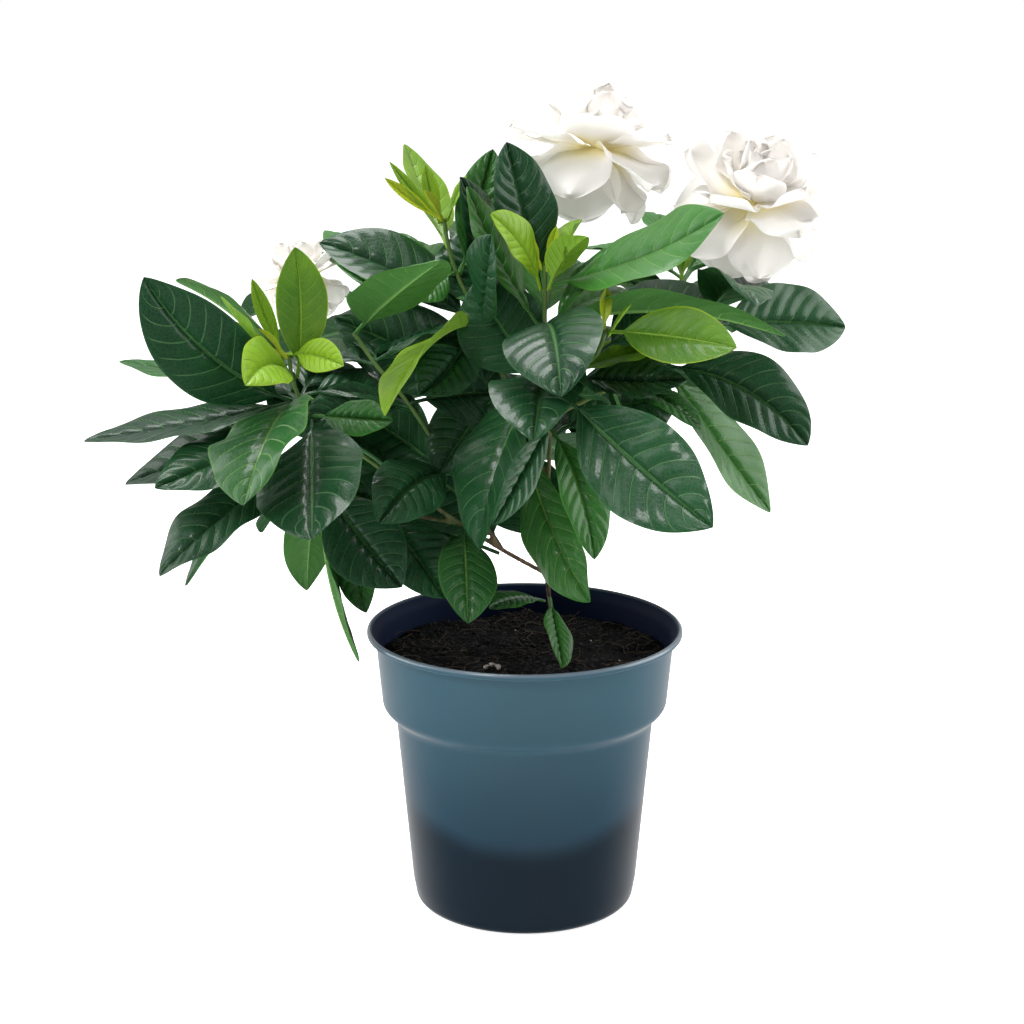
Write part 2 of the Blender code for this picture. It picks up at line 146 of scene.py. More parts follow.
bpy.ops.mesh.primitive_circle_add(vertices=96, radius=6.0, fill_type="NGON", location=(0, 0, -0.0002))
floor = bpy.context.active_object
floor.name = "floor"
paint = bpy.data.materials.new("floor_paint")
paint.use_nodes = True
floor_shader = paint.node_tree.nodes["Principled BSDF"]
floor_shader.inputs["Base Color"].default_value = (0.85, 0.85, 0.85, 1.0)
floor_shader.inputs["Roughness"].default_value = 1.0
floor_shader.inputs["Specular IOR Level"].default_value = 0.0
floor_shader.inputs["Emission Color"].default_value = (1.0, 1.0, 1.0, 1.0)
floor_shader.inputs["Emission Strength"].default_value = FLOOR_GLOW
floor.data.materials.append(paint)
floor.visible_glossy = False
print(len(PANELS), "panels and a floor")

# %% [markdown]
# ## Arithmetic with nodes
#
# A leaf's outline, its veins and its colours all come from a few formulas. In a node tree each
# plus or times is a Math node, which soon becomes hard to read. A `Wire` holds one socket, and
# ordinary Python arithmetic on it adds the Math nodes. The same formulas then work in Geometry
# Nodes and in materials, so that the painted veins lie exactly on the modelled ones.

# %% Wires
class Wire:
    """One socket of a node tree, for use in ordinary arithmetic."""

    def __init__(self, tree, socket):
        self.tree = tree
        self.socket = socket

    def maths(self, operation, *values):
        """Add one Math node and return its result."""
        node = self.tree.nodes.new("ShaderNodeMath")
        node.operation = operation
        for slot, value in zip(node.inputs, values):
            connect(self.tree, value, slot)
        return Wire(self.tree, node.outputs[0])

    def __add__(self, other):
        return self.maths("ADD", self, other)

    def __radd__(self, other):
        return self.maths("ADD", other, self)

    def __sub__(self, other):
        return self.maths("SUBTRACT", self, other)

    def __rsub__(self, other):
        return self.maths("SUBTRACT", other, self)

    def __mul__(self, other):
        return self.maths("MULTIPLY", self, other)

    def __rmul__(self, other):
        return self.maths("MULTIPLY", other, self)

    def __truediv__(self, other):
        return self.maths("DIVIDE", self, other)

    def __pow__(self, other):
        return self.maths("POWER", self, other)

    def sin(self):
        return self.maths("SINE", self)

    def cos(self):
        return self.maths("COSINE", self)

    def size(self):
        return self.maths("ABSOLUTE", self)

    def least(self, other):
        return self.maths("MAXIMUM", self, other)

    def most(self, other):
        return self.maths("MINIMUM", self, other)

    def sign(self):
        return self.maths("SIGN", self)

    def ease(self, low, high):
        """0 below low, 1 above high, and a smooth step between."""
        node = self.tree.nodes.new("ShaderNodeMapRange")
        node.interpolation_type = "SMOOTHSTEP"
        node.inputs["From Min"].default_value = low
        node.inputs["From Max"].default_value = high
        connect(self.tree, self, node.inputs["Value"])
        return Wire(self.tree, node.outputs["Result"])


def connect(tree, value, slot):
    """Link a wire to a socket, or set a plain value on it."""
    if isinstance(value, Wire):
        tree.links.new(value.socket, slot)
    else:
        slot.default_value = value


def add_node(tree, kind, settings=(), inputs=()):
    """Add a node, with its settings and its inputs by name or number."""
    node = tree.nodes.new(kind)
    for key, value in dict(settings).items():
        setattr(node, key, value)
    for key, value in dict(inputs).items():
        connect(tree, value, node.inputs[key])
    return node


def vein_phase(along, across, count, shift):
    """Whole numbers lie on the side veins, which leave the midrib and sweep towards the tip."""
    return count * (along - 0.20 * across.size() ** 1.3) + shift + 0.25 * across.sign()


VEINS = 9.0
print("wires ready")

# %% [markdown]
# ## Colour helpers
#
# Each material starts from the Principled shader. Two short helpers mix colours and read noise,
# always from Object coordinates, because those stay fixed to the piece.

# %% Material helpers
def new_material(name):
    """A material, its tree and its Principled shader."""
    material = bpy.data.materials.new(name)
    material.use_nodes = True
    return material, material.node_tree, material.node_tree.nodes["Principled BSDF"]


def colour_mix(tree, share, first, second):
    """A colour between two others."""
    node = add_node(tree, "ShaderNodeMix", {"data_type": "RGBA"})
    connect(tree, share, node.inputs[0])
    for value, slot in ((first, node.inputs[6]), (second, node.inputs[7])):
        connect(tree, value if isinstance(value, Wire) else (*value, 1.0), slot)
    return Wire(tree, node.outputs[2])


def object_place(tree):
    """The piece's Object coordinates."""
    return Wire(tree, add_node(tree, "ShaderNodeTexCoord").outputs["Object"])


def axes_of(tree, vector):
    """The three parts of a vector."""
    node = add_node(tree, "ShaderNodeSeparateXYZ", inputs={0: vector})
    return [Wire(tree, socket) for socket in node.outputs]


def noise(tree, vector, scale, detail=3.0, rough=0.5, stretch=(1.0, 1.0, 1.0)):
    """Noise from 0 to 1, with so many waves to the metre."""
    mapping = add_node(tree, "ShaderNodeMapping", inputs={"Vector": vector, "Scale": stretch})
    texture = add_node(tree, "ShaderNodeTexNoise", inputs={
        "Vector": Wire(tree, mapping.outputs[0]), "Scale": scale, "Detail": detail, "Roughness": rough})
    return Wire(tree, texture.outputs[0])


def bump(tree, shader, height, distance, strength=1.0):
    """Raise the surface by a height from 0 to 1, times a distance in metres."""
    node = add_node(tree, "ShaderNodeBump", inputs={
        "Strength": strength, "Distance": distance, "Height": height})
    connect(tree, Wire(tree, node.outputs["Normal"]), shader.inputs["Normal"])


def set_shader(tree, shader, **values):
    """Set shader inputs; an underscore in a name stands for a space."""
    for key, value in values.items():
        connect(tree, value, shader.inputs[key.replace("_", " ")])


print("material helpers ready")

# %% [markdown]
# ## Leaf finishes
#
# A gardenia leaf is dark, waxy and quilted: the side veins are sunk, the skin between them swells,
# and the midrib is a pale line. The underside is paler and duller. Young leaves are yellow-green
# with a yellow edge. Every blade carries its own map `leaf_uv`, from stalk to tip and from edge to
# edge, and the value `leaf_tone`, which makes each leaf a little different; on a few leaves it also
# paints in how brightly they are lit.

# %% Leaf materials
# tone: skin, lighter skin, vein, edge, underside, roughness, coat
LEAF_TONES = {
    "dark": ((0.003, 0.022, 0.011), (0.011, 0.078, 0.022), (0.13, 0.30, 0.11),
             (0.04, 0.14, 0.04), (0.035, 0.125, 0.035), 0.27, 0.22),
    "mid": ((0.008, 0.062, 0.014), (0.034, 0.160, 0.020), (0.20, 0.40, 0.10),
            (0.10, 0.26, 0.03), (0.070, 0.200, 0.045), 0.30, 0.20),
    "young": ((0.045, 0.150, 0.008), (0.290, 0.500, 0.020), (0.30, 0.50, 0.07),
              (0.34, 0.48, 0.01), (0.180, 0.380, 0.040), 0.34, 0.16),
    "bud": ((0.260, 0.400, 0.010), (0.440, 0.530, 0.015), (0.50, 0.60, 0.08),
            (0.58, 0.58, 0.02), (0.360, 0.470, 0.040), 0.42, 0.12),
}


def leaf_coordinates(tree):
    """Along the blade from 0 to 1, and across it from -1 to 1."""
    node = add_node(tree, "ShaderNodeUVMap", {"uv_map": "leaf_uv"})
    along, across, _ = axes_of(tree, Wire(tree, node.outputs[0]))
    return along, across * 2.0 - 1.0


def leaf_material(tone, upper):
    """One side's finish for one tone of leaf."""
    skin, light, vein, edge, under, roughness, coat = LEAF_TONES[tone]
    material, tree, shader = new_material(f"leaf_{tone}_{'upper' if upper else 'under'}")
    along, across = leaf_coordinates(tree)
    toned = add_node(tree, "ShaderNodeAttribute", {"attribute_name": "leaf_tone"})
    own = Wire(tree, toned.outputs["Fac"])
    place = object_place(tree)
    phase = vein_phase(along, across, VEINS, own * 3.0)
    side_vein = 1.0 - (phase * math.pi).sin().size().ease(0.02, 0.22)
    side_vein = side_vein * across.size().ease(0.98, 0.7)
    midrib = 1.0 - (across.size() - 0.012 - 0.05 * (1.0 - along) ** 3.0).ease(0.0, 0.03)
    cloud = noise(tree, place, 45.0)
    net = add_node(tree, "ShaderNodeTexVoronoi", {"feature": "DISTANCE_TO_EDGE"}, {
        "Vector": place, "Scale": 620.0})
    cell = Wire(tree, net.outputs["Distance"]).ease(0.0, 0.16)
    if upper:
        base = colour_mix(tree, (cloud * 0.8 + own * 0.7 - 0.25), skin, light)
        base = colour_mix(tree, side_vein * 0.42, base, vein)
        base = colour_mix(tree, (1.0 - cell) * 0.07, base, vein)
        base = colour_mix(tree, midrib * 0.75, base, vein)
    else:
        base = colour_mix(tree, cloud * 0.6, under, light)
        base = colour_mix(tree, midrib * 0.7 + side_vein * 0.35, base, vein)
    # painted highlight in part: on dark and mid leaves the pale edge stands for the light caught by the
    # leaf's margin; on young leaves and buds it is their own yellow edge
    rim = across.size().ease(0.93, 0.99)
    base = colour_mix(tree, rim * (0.60 if tone in ("young", "bud") else 0.35), base, edge)
    gloss = roughness + (0.0 if upper else 0.18)
    set_shader(tree, shader, Base_Color=base, Roughness=gloss + 0.12 * cloud + 0.05 * (1.0 - cell))
    set_shader(tree, shader, Coat_Weight=coat if upper else 0.0, Coat_Roughness=0.12)
    set_shader(tree, shader, Specular_IOR_Level=0.28)
    bump(tree, shader, cell * 0.12 + cloud * 0.30 + (1.0 - side_vein) * 0.7 - midrib * 0.6, 0.00035)
    return material


LEAF_SKINS = {tone: (leaf_material(tone, True), leaf_material(tone, False)) for tone in LEAF_TONES}
print(len(LEAF_SKINS), "leaf tones, two sides each")

# %% [markdown]
# ## The blade tree
#
# Leaves, petals and sepals are all thin sheets that leave a seat, bend along their length and swell
# between their veins, so one Geometry Nodes tree makes them all. It starts from a flat grid. Row by
# row the grid is moved onto a circular arc, and column by column it gets the outline's width, the
# fold along the midrib, the waves of the edge and the quilting. Two such sheets, a hair apart and
# pinched together along the edge, are merged into one closed skin. The upper sheet and the lower
# sheet get materials of their own.

# %% Blade tree
BLADE_INPUTS = {
    # name: default
    "Length": 0.07, "Width": 0.034, "Pitch": 0.3, "Droop": 0.4, "Azimuth": 0.0, "Roll": 0.0,
    "Twist": 0.0, "Fold": 0.2, "Cup": 0.0, "Skew": 1.0, "Bluntness": 0.85, "Stalk Share": 0.10,
    "Stalk Half Width": 0.0008, "Stalk Reach": 0.0, "Quilting": 0.0006, "Wave": 0.05, "Waves": 2.5,
    "Tip Ruffle": 0.0, "Tip Density": 0.3, "Phase": 0.0, "Tone": 0.5, "Thickness": 0.0003,
    "Stalk Depth": 0.0009,
}


def tree_with_inputs(name, sizes, others=()):
    """A Geometry Nodes tree with float inputs, other inputs and one geometry output."""
    tree = bpy.data.node_groups.new(name, "GeometryNodeTree")
    tree.interface.new_socket("Geometry", in_out="INPUT", socket_type="NodeSocketGeometry")
    for label, default in sizes.items():
        socket = tree.interface.new_socket(label, in_out="INPUT", socket_type="NodeSocketFloat")
        socket.default_value = default
    for label, kind in others:
        tree.interface.new_socket(label, in_out="INPUT", socket_type=kind)
    tree.interface.new_socket("Geometry", in_out="OUTPUT", socket_type="NodeSocketGeometry")
    entry = tree.nodes.new("NodeGroupInput")
    wires = {socket.name: Wire(tree, socket) for socket in entry.outputs if socket.name}
    return tree, wires


def named_value(tree, geometry, name, kind, domain, value):
    """Store a value under a name on the geometry."""
    node = add_node(tree, "GeometryNodeStoreNamedAttribute", {"data_type": kind, "domain": domain}, {
        "Geometry": geometry, "Name": name})
    slot = [socket for socket in node.inputs if socket.name == "Value" and socket.enabled][0]
    connect(tree, value, slot)
    return Wire(tree, node.outputs["Geometry"])


def step(tree, kind, geometry, inputs=(), settings=()):
    """Pass geometry through one node."""
    node = add_node(tree, kind, settings, inputs)
    connect(tree, geometry, node.inputs[0])
    return Wire(tree, node.outputs[0])


def blade_tree():
    """The tree that makes every leaf, petal and sepal."""
    tree, given = tree_with_inputs("blade", BLADE_INPUTS, [
        ("Seat", "NodeSocketVector"), ("Rows", "NodeSocketInt"), ("Columns", "NodeSocketInt"),
        ("Upper Skin", "NodeSocketMaterial"), ("Lower Skin", "NodeSocketMaterial")])
    grid = add_node(tree, "GeometryNodeMeshGrid", inputs={
        "Size X": 1.0, "Size Y": 1.0, "Vertices X": given["Rows"], "Vertices Y": given["Columns"]})
    flat = Wire(tree, grid.outputs["Mesh"])
    flat = named_value(tree, flat, "leaf_tone", "FLOAT", "POINT", given["Tone"])
    x, y, _ = axes_of(tree, Wire(tree, add_node(tree, "GeometryNodeInputPosition").outputs[0]))
    reach = given["Stalk Reach"] / given["Length"]
    even = x + 0.5
    crowded = even + ((even * math.pi * 0.5).sin() - even) * given["Tip Density"]
    along = crowded * (reach + 1.0) - reach
    across = y * 2.0
    width_share = across.size()
    share = ((along - given["Stalk Share"]) / (1.0 - given["Stalk Share"])).least(0.0).most(1.0)
    spread = add_node(tree, "ShaderNodeCombineXYZ", inputs={"X": share, "Y": y + 0.5})
    flat = named_value(tree, flat, "leaf_uv", "FLOAT2", "CORNER", Wire(tree, spread.outputs[0]))
    skewed = share ** given["Skew"]
    full = (4.0 * skewed * (1.0 - skewed)).least(0.0) ** given["Bluntness"]
    stalk = (1.0 - share.ease(0.0, 0.35)) * given["Stalk Half Width"]
    half = (0.5 * given["Width"] * full).least(stalk)
    body = (share * math.pi).sin().least(0.0) ** 0.4
    tilt = given["Pitch"] - given["Droop"] * along
    length = given["Length"] / given["Droop"]
    mid_x = length * (given["Pitch"].sin() - tilt.sin())
    mid_z = length * (tilt.cos() - given["Pitch"].cos())
    roll = given["Roll"] + given["Twist"] * (along - 0.4)
    phase = vein_phase(share, across, VEINS, given["Tone"] * 3.0)
    swell = ((phase * math.pi).sin().size() ** 0.55) * (1.0 - width_share ** 4.0)
    swell = swell * (width_share * 5.0).most(1.0)
    groove = (1.0 - width_share * half / 0.0012).least(0.0)
    turn = given["Phase"]
    edge = (share * given["Waves"] * 2.0 * math.pi + turn + across * 1.3).sin()
    tip = (across * 4.2 + turn).sin() * share ** 3.0
    height = half * (given["Fold"] * width_share + given["Cup"] * across * across)
    height = height + half * given["Wave"] * edge * width_share ** 2.0
    height = height + given["Width"] * given["Tip Ruffle"] * tip
    height = height + given["Quilting"] * body * (swell - groove * 1.2)
    pinch = (1.0 - width_share ** 6.0) * ((x + 0.5) * 60.0).most(1.0) * ((0.5 - x) * 60.0).most(1.0)
    depth = (given["Thickness"] + given["Stalk Depth"] * (1.0 - share) ** 10.0) * 0.5 * pinch

    def sheet(side, skin, flip):
        """The grid bent into one of the two sheets."""
        lift = height + depth * side
        shift = half * across
        place = add_node(tree, "ShaderNodeCombineXYZ", inputs={
            "X": mid_x - shift * tilt.sin() * roll.sin() - lift * tilt.sin() * roll.cos(),
            "Y": shift * roll.cos() - lift * roll.sin(),
            "Z": mid_z + shift * tilt.cos() * roll.sin() + lift * tilt.cos() * roll.cos()})
        turned = add_node(tree, "ShaderNodeVectorRotate", {"rotation_type": "Z_AXIS"}, {
            "Vector": Wire(tree, place.outputs[0]), "Angle": given["Azimuth"]})
        seated = add_node(tree, "ShaderNodeVectorMath", {"operation": "ADD"}, {
            0: Wire(tree, turned.outputs[0]), 1: given["Seat"]})
        bent = step(tree, "GeometryNodeSetPosition", flat, {"Position": Wire(tree, seated.outputs[0])})
        if flip:
            bent = step(tree, "GeometryNodeFlipFaces", bent)
        return step(tree, "GeometryNodeSetMaterial", bent, {"Material": skin})

    join = tree.nodes.new("GeometryNodeJoinGeometry")
    for one in (sheet(1.0, given["Upper Skin"], False), sheet(-1.0, given["Lower Skin"], True)):
        tree.links.new(one.socket, join.inputs[0])
    skin = step(tree, "GeometryNodeMergeByDistance", Wire(tree, join.outputs[0]), {"Distance": 0.00001})
    skin = step(tree, "GeometryNodeSetShadeSmooth", skin)
    bend = Wire(tree, add_node(tree, "GeometryNodeInputMeshEdgeAngle").outputs["Unsigned Angle"])
    skin = step(tree, "GeometryNodeSetShadeSmooth", skin, {
        "Selection": bend.maths("GREATER_THAN", bend, 1.0), "Shade Smooth": False}, {"domain": "EDGE"})
    skin = step(tree, "GeometryNodeRealizeInstances", skin)
    leave = tree.nodes.new("NodeGroupOutput")
    tree.links.new(skin.socket, leave.inputs[0])
    return tree


BLADE = blade_tree()
print("blade tree:", len(BLADE.nodes), "nodes")

# %% [markdown]
# A tree becomes a plain mesh in three moves: put it on a helper object as a modifier, set its
# inputs by their identifiers, and read the evaluated mesh. The helper is then removed.

# %% From a tree to a mesh
def grown(tree, values, source=None):
    """The mesh that a Geometry Nodes tree makes from these inputs."""
    if source is None:
        source = bpy.data.objects.new("helper", bpy.data.meshes.new("helper"))
        scene.collection.objects.link(source)
    modifier = source.modifiers.new("tree", "NODES")
    modifier.node_group = tree
    for item in tree.interface.items_tree:
        if item.in_out == "INPUT" and item.name in values:
            modifier[item.identifier] = values[item.name]
    graph = bpy.context.evaluated_depsgraph_get()
    mesh = bpy.data.meshes.new_from_object(source.evaluated_get(graph))
    bpy.data.objects.remove(source, do_unlink=True)
    return mesh


def add_piece(name, mesh, nodes=()):
    """A finished piece that rides on the root body, and the CAD nodes that it stands for."""
    mesh.name = name
    piece = bpy.data.objects.new(name, mesh)
    scene.collection.objects.link(piece)
    if nodes:
        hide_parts(*nodes)
    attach(piece, "root")
    return piece


def joined(meshes, name):
    """Several meshes as one, with their materials kept apart."""
    helpers = []
    for mesh in meshes:
        helper = bpy.data.objects.new("helper", mesh)
        scene.collection.objects.link(helper)
        helpers.append(helper)
    bpy.ops.object.select_all(action="DESELECT")
    for helper in helpers:
        helper.select_set(True)
    bpy.context.view_layer.objects.active = helpers[0]
    if len(helpers) > 1:
        bpy.ops.object.join()
    mesh = helpers[0].data
    bpy.data.objects.remove(helpers[0], do_unlink=True)
    mesh.name = name
    return mesh


print("mesh helpers ready")

# %% [markdown]
# ## Shoots
#
# The plant has one trunk, which divides into shoots that each end in a tuft of leaves. Every shoot
# is a short list of points in millimetres, with a radius at its root and at its end. These are the
# CAD model's own numbers, because each leaf and flower is seated on them.

# %% Shoots
# name: (radius at the root, radius at the end, points from root to end)
SHOOTS = {
    "centre": (4.4, 1.5, [
        (13, 8, 66), (13, 8, 88), (12, 7, 110), (10, 3, 130), (8, -1, 152), (9, -5, 174),
        (10, -4, 200), (9, -2, 222), (8, 0, 244), (8, 0, 260), (8, 0, 268)]),
    "left": (3.2, 1.4, [
        (9, 1, 140), (-10, -3, 152), (-40, -10, 174), (-70, -16, 198),
        (-84, -19, 210), (-89, -20, 218), (-92, -20, 228), (-93, -20, 236)]),
    "low_left": (2.2, 1.2, [
        (-25, -7, 163), (-58, -12, 172), (-80, -14, 182), (-92, -15, 190)]),
    "mid_left": (2.2, 1.2, [
        (-10, -3, 152), (-30, -4, 185), (-46, -6, 212), (-60, -8, 230), (-68, -8, 242)]),
    "upper_left": (2.2, 1.2, [
        (9, -5, 180), (2, -3, 198), (-7, 5, 217), (-18, 14, 242),
        (-28, 20, 262), (-31, 21, 272), (-33, 22, 284)]),
    "front": (2.2, 1.2, [
        (10, -4, 200), (9, -20, 208), (12, -32, 216), (14, -36, 224)]),
    "right": (2.2, 1.2, [
        (9, -2, 214), (18, -12, 226), (28, -20, 236), (32, -21, 246)]),
    "far_right": (2.2, 1.4, [
        (9, -3, 206), (35, 2, 218), (55, 5, 228), (75, 12, 243), (81, 17, 253)]),
    "back": (2.2, 1.2, [
        (8, -1, 155), (2, 30, 190), (4, 60, 222), (6, 74, 240)]),
    "back_left": (2.2, 1.2, [
        (3, 25, 185), (-30, 50, 215), (-55, 62, 232), (-66, 66, 244)]),
    "back_right": (2.2, 1.2, [
        (4, 45, 205), (35, 60, 225), (58, 66, 240), (68, 68, 250)]),
    "top_flower": (1.4, 2.2, [
        (8, 0, 250), (14, 24, 266), (23, 44, 282), (27, 50, 290), (28, 48, 298)]),
    "right_flower": (1.4, 2.2, [
        (75, 12, 243), (84, 30, 256), (91, 44, 272), (93, 40, 280)]),
    "left_flower": (1.4, 1.8, [
        (-70, -16, 198), (-78, 10, 222), (-88, 36, 240), (-92, 44, 248)]),
}
LEAF_CLEARANCE = 0.0010


def heading(azimuth, pitch):
    """A unit vector from a compass angle and a pitch, in radians."""
    level = math.cos(pitch)
    return Vector((level * math.cos(azimuth), level * math.sin(azimuth), math.sin(pitch)))


def leaf_seat(shoot, index, azimuth, pitch):
    """Where a stalk meets the bark: square to the shoot, just clear of it."""
    root_radius, end_radius, points = SHOOTS[shoot]
    ahead = Vector(points[min(index + 1, len(points) - 1)])
    axis = (ahead - Vector(points[max(index - 1, 0)])).normalized()
    direction = heading(azimuth, pitch)
    outward = (direction - axis * direction.dot(axis)).normalized()
    radius = root_radius + (end_radius - root_radius) * index / (len(points) - 1)
    return Vector(points[index]) * MM + outward * (radius * MM + LEAF_CLEARANCE)


print(len(SHOOTS), "shoots")

# %% [markdown]
# ## Leaves
#
# Each leaf is one row: the shoot, the point on it, the compass angle and pitch at which it leaves,
# its length and width, how far it droops and rolls, and its tone. The first table holds the leaves
# that the CAD model has as nodes. The second adds those that were past its limit of sixty.
#
# Many of these rows were not chosen by hand. A search proposed them, to match outlines and to keep
# the leaves apart, and they were rounded to whole millimetres and degrees.

# %% Leaf tables
# name, shoot, point, azimuth, pitch, length, width, droop, roll, tone
LEAVES = [
    ("left_01", "left", 5, 209, 23, 83, 34, -38, -104, "dark"),
    ("left_02", "left", 5, 185, -15, 84, 32, -10, -10, "dark"),
    ("left_03", "left", 4, 170, -20, 82, 34, 0, -30, "dark"),
    ("left_04", "left", 4, 210, -15, 68, 31, 0, -20, "dark"),
    ("left_05", "left", 5, 256, 4, 72, 45, 53, 24, "mid"),
    ("left_06", "left", 4, 274, -20, 75, 45, 7, 22, "dark"),
    ("left_07", "low_left", 3, 215, -20, 70, 32, 20, -15, "dark"),
    ("left_08", "low_left", 3, 160, -35, 74, 32, 25, -15, "dark"),
    ("left_09", "low_left", 2, 120, -50, 52, 22, 40, 10, "mid"),
    ("left_10", "low_left", 2, 315, -40, 56, 32, -10, 50, "dark"),
    ("left_11", "low_left", 1, 324, -35, 45, 28, 17, 27, "dark"),
    ("left_12", "low_left", 2, 320, -93, 73, 18, -37, -40, "mid"),
    ("left_13", "left", 6, 150, 100, 50, 21, 20, -40, "young"),
    ("left_14", "left", 6, 185, 50, 40, 18, -5, 10, "young"),
    ("left_15", "left", 6, 250, 40, 42, 22, 70, -50, "young"),
    ("left_16", "left", 5, 150, 60, 75, 30, 50, 35, "mid"),
    ("left_17", "left", 5, 150, 5, 88, 24, 0, 0, "mid"),
    ("middle_01", "mid_left", 4, 315, 42, 59, 42, 14, -10, "mid"),
    ("middle_02", "mid_left", 3, 30, 25, 44, 26, 20, -10, "dark"),
    ("middle_03", "mid_left", 1, 240, 15, 54, 28, 50, -35, "dark"),
    ("middle_04", "upper_left", 3, 234, -50, 44, 24, -37, -32, "dark"),
    ("upper_01", "upper_left", 5, 115, 35, 58, 24, -10, 25, "young"),
    ("upper_02", "upper_left", 4, 150, 10, 61, 28, 15, -25, "mid"),
    ("upper_03", "upper_left", 4, 50, 65, 51, 20, -5, 50, "mid"),
    ("upper_04", "upper_left", 3, 190, 95, 60, 28, 30, -40, "dark"),
    ("upper_05", "upper_left", 3, 277, 39, 55, 28, -18, 108, "dark"),
    ("upper_06", "upper_left", 3, 240, 10, 77, 30, 60, 35, "young"),
    ("top_01", "centre", 9, 140, 75, 58, 27, 5, -20, "dark"),
    ("top_02", "centre", 9, 29, 74, 29, 32, 26, -9, "young"),
    ("top_03", "centre", 9, 210, 73, 38, 20, 39, -55, "young"),
    ("top_04", "centre", 9, 335, 15, 80, 42, -19, 27, "mid"),
    ("top_05", "centre", 8, 275, 20, 67, 40, 70, 20, "dark"),
    ("top_06", "centre", 8, 170, 55, 62, 28, -15, -10, "mid"),
    ("right_01", "right", 3, 325, 5, 57, 24, 10, 55, "young"),
    ("right_02", "right", 1, 5, 30, 40, 20, 35, 20, "young"),
    ("right_03", "centre", 8, 345, 20, 96, 36, 40, -25, "mid"),
    ("right_04", "right", 1, 355, -5, 44, 22, -10, 35, "dark"),
    ("right_05", "far_right", 3, 30, 2, 67, 32, 15, 55, "dark"),
    ("right_06", "far_right", 2, 350, 0, 68, 31, 55, 50, "dark"),
    ("right_07", "far_right", 2, 5, -55, 76, 33, -2, 34, "mid"),
    ("front_01", "front", 3, 315, -31, 86, 39, -9, 60, "dark"),
    ("front_02", "centre", 7, 234, -28, 77, 45, 55, 19, "dark"),
    ("front_03", "front", 2, 238, -40, 56, 15, -3, -73, "dark"),
    ("front_04", "centre", 7, 265, 20, 66, 38, 60, 10, "dark"),
    ("front_05", "front", 1, 304, -33, 57, 21, 48, 3, "mid"),
    ("front_06", "upper_left", 1, 301, -66, 76, 28, -38, 71, "mid"),
    ("front_07", "centre", 3, 278, -30, 38, 15, -3, -35, "mid"),
    ("front_08", "low_left", 0, 274, -20, 48, 25, 33, -20, "mid"),
    ("back_01", "back", 3, 90, 40, 74, 34, 50, 0, "mid"),
    ("back_02", "back", 2, 150, 10, 70, 32, 35, 0, "dark"),
    ("back_03", "back_left", 3, 100, 35, 76, 34, 50, 0, "mid"),
    ("back_04", "back_left", 3, 150, 10, 70, 32, 45, 10, "dark"),
    ("back_05", "back_right", 3, 60, 30, 76, 34, 50, 0, "mid"),
    ("back_06", "back", 2, 35, 10, 70, 32, 35, 0, "dark"),
]
MORE_LEAVES = [
    ("more_01", "low_left", 1, 185, -55, 44, 20, 55, -55, "mid"),
    ("more_02", "left", 7, 320, 10, 28, 14, 25, 60, "young"),
    ("more_03", "left", 4, 325, 5, 38, 16, 0, 50, "mid"),
    ("more_04", "mid_left", 2, 200, 20, 44, 20, 50, -60, "dark"),
    ("more_05", "upper_left", 4, 230, -15, 27, 16, 0, -45, "mid"),
    ("more_06", "centre", 9, 310, 65, 32, 15, 40, -25, "young"),
    ("more_07", "centre", 8, 0, 55, 38, 16, 0, 20, "mid"),
    ("more_08", "centre", 7, 290, 0, 50, 30, -10, -40, "dark"),
    ("more_09", "centre", 3, 225, 20, 30, 14, 30, -10, "mid"),
    ("more_10", "far_right", 3, 285, 55, 60, 30, 80, -25, "dark"),
    ("more_11", "far_right", 1, 325, 10, 44, 18, 50, 1, "mid"),
    ("more_12", "far_right", 1, 50, -60, 61, 28, 25, -40, "mid"),
    ("fill_01", "mid_left", 1, 154, 30, 57, 35, 7, -70, "dark"),
    ("fill_02", "mid_left", 0, 165, 58, 57, 36, 39, -69, "dark"),
    ("fill_03", "mid_left", 0, 166, 18, 69, 34, -5, -72, "dark"),
    ("fill_04", "centre", 7, 161, 48, 47, 36, -12, -68, "dark"),
    ("fill_05", "upper_left", 2, 171, 24, 74, 36, 4, -68, "dark"),
    ("fill_06", "centre", 6, 30, 26, 59, 36, 37, 45, "dark"),
    ("fill_07", "right", 2, 41, 24, 74, 36, 34, 37, "dark"),
    ("fill_08", "upper_left", 3, 108, 59, 42, 36, 5, -6, "dark"),
    ("fill_09", "left", 3, 143, 22, 47, 28, -15, -31, "dark"),
    ("fill_10", "upper_left", 1, 141, 18, 46, 35, -9, -52, "dark"),
    ("fill_11", "upper_left", 3, 168, 40, 73, 35, 28, -24, "dark"),
    ("fill_12", "centre", 4, 125, 53, 41, 36, 0, -33, "dark"),
    ("fill_13", "mid_left", 2, 20, 10, 46, 30, 20, 60, "dark"),
    ("fill_14", "upper_left", 2, 215, -35, 44, 30, 20, -30, "dark"),
    ("fill_15", "centre", 6, 150, -20, 48, 32, 20, -40, "dark"),
]
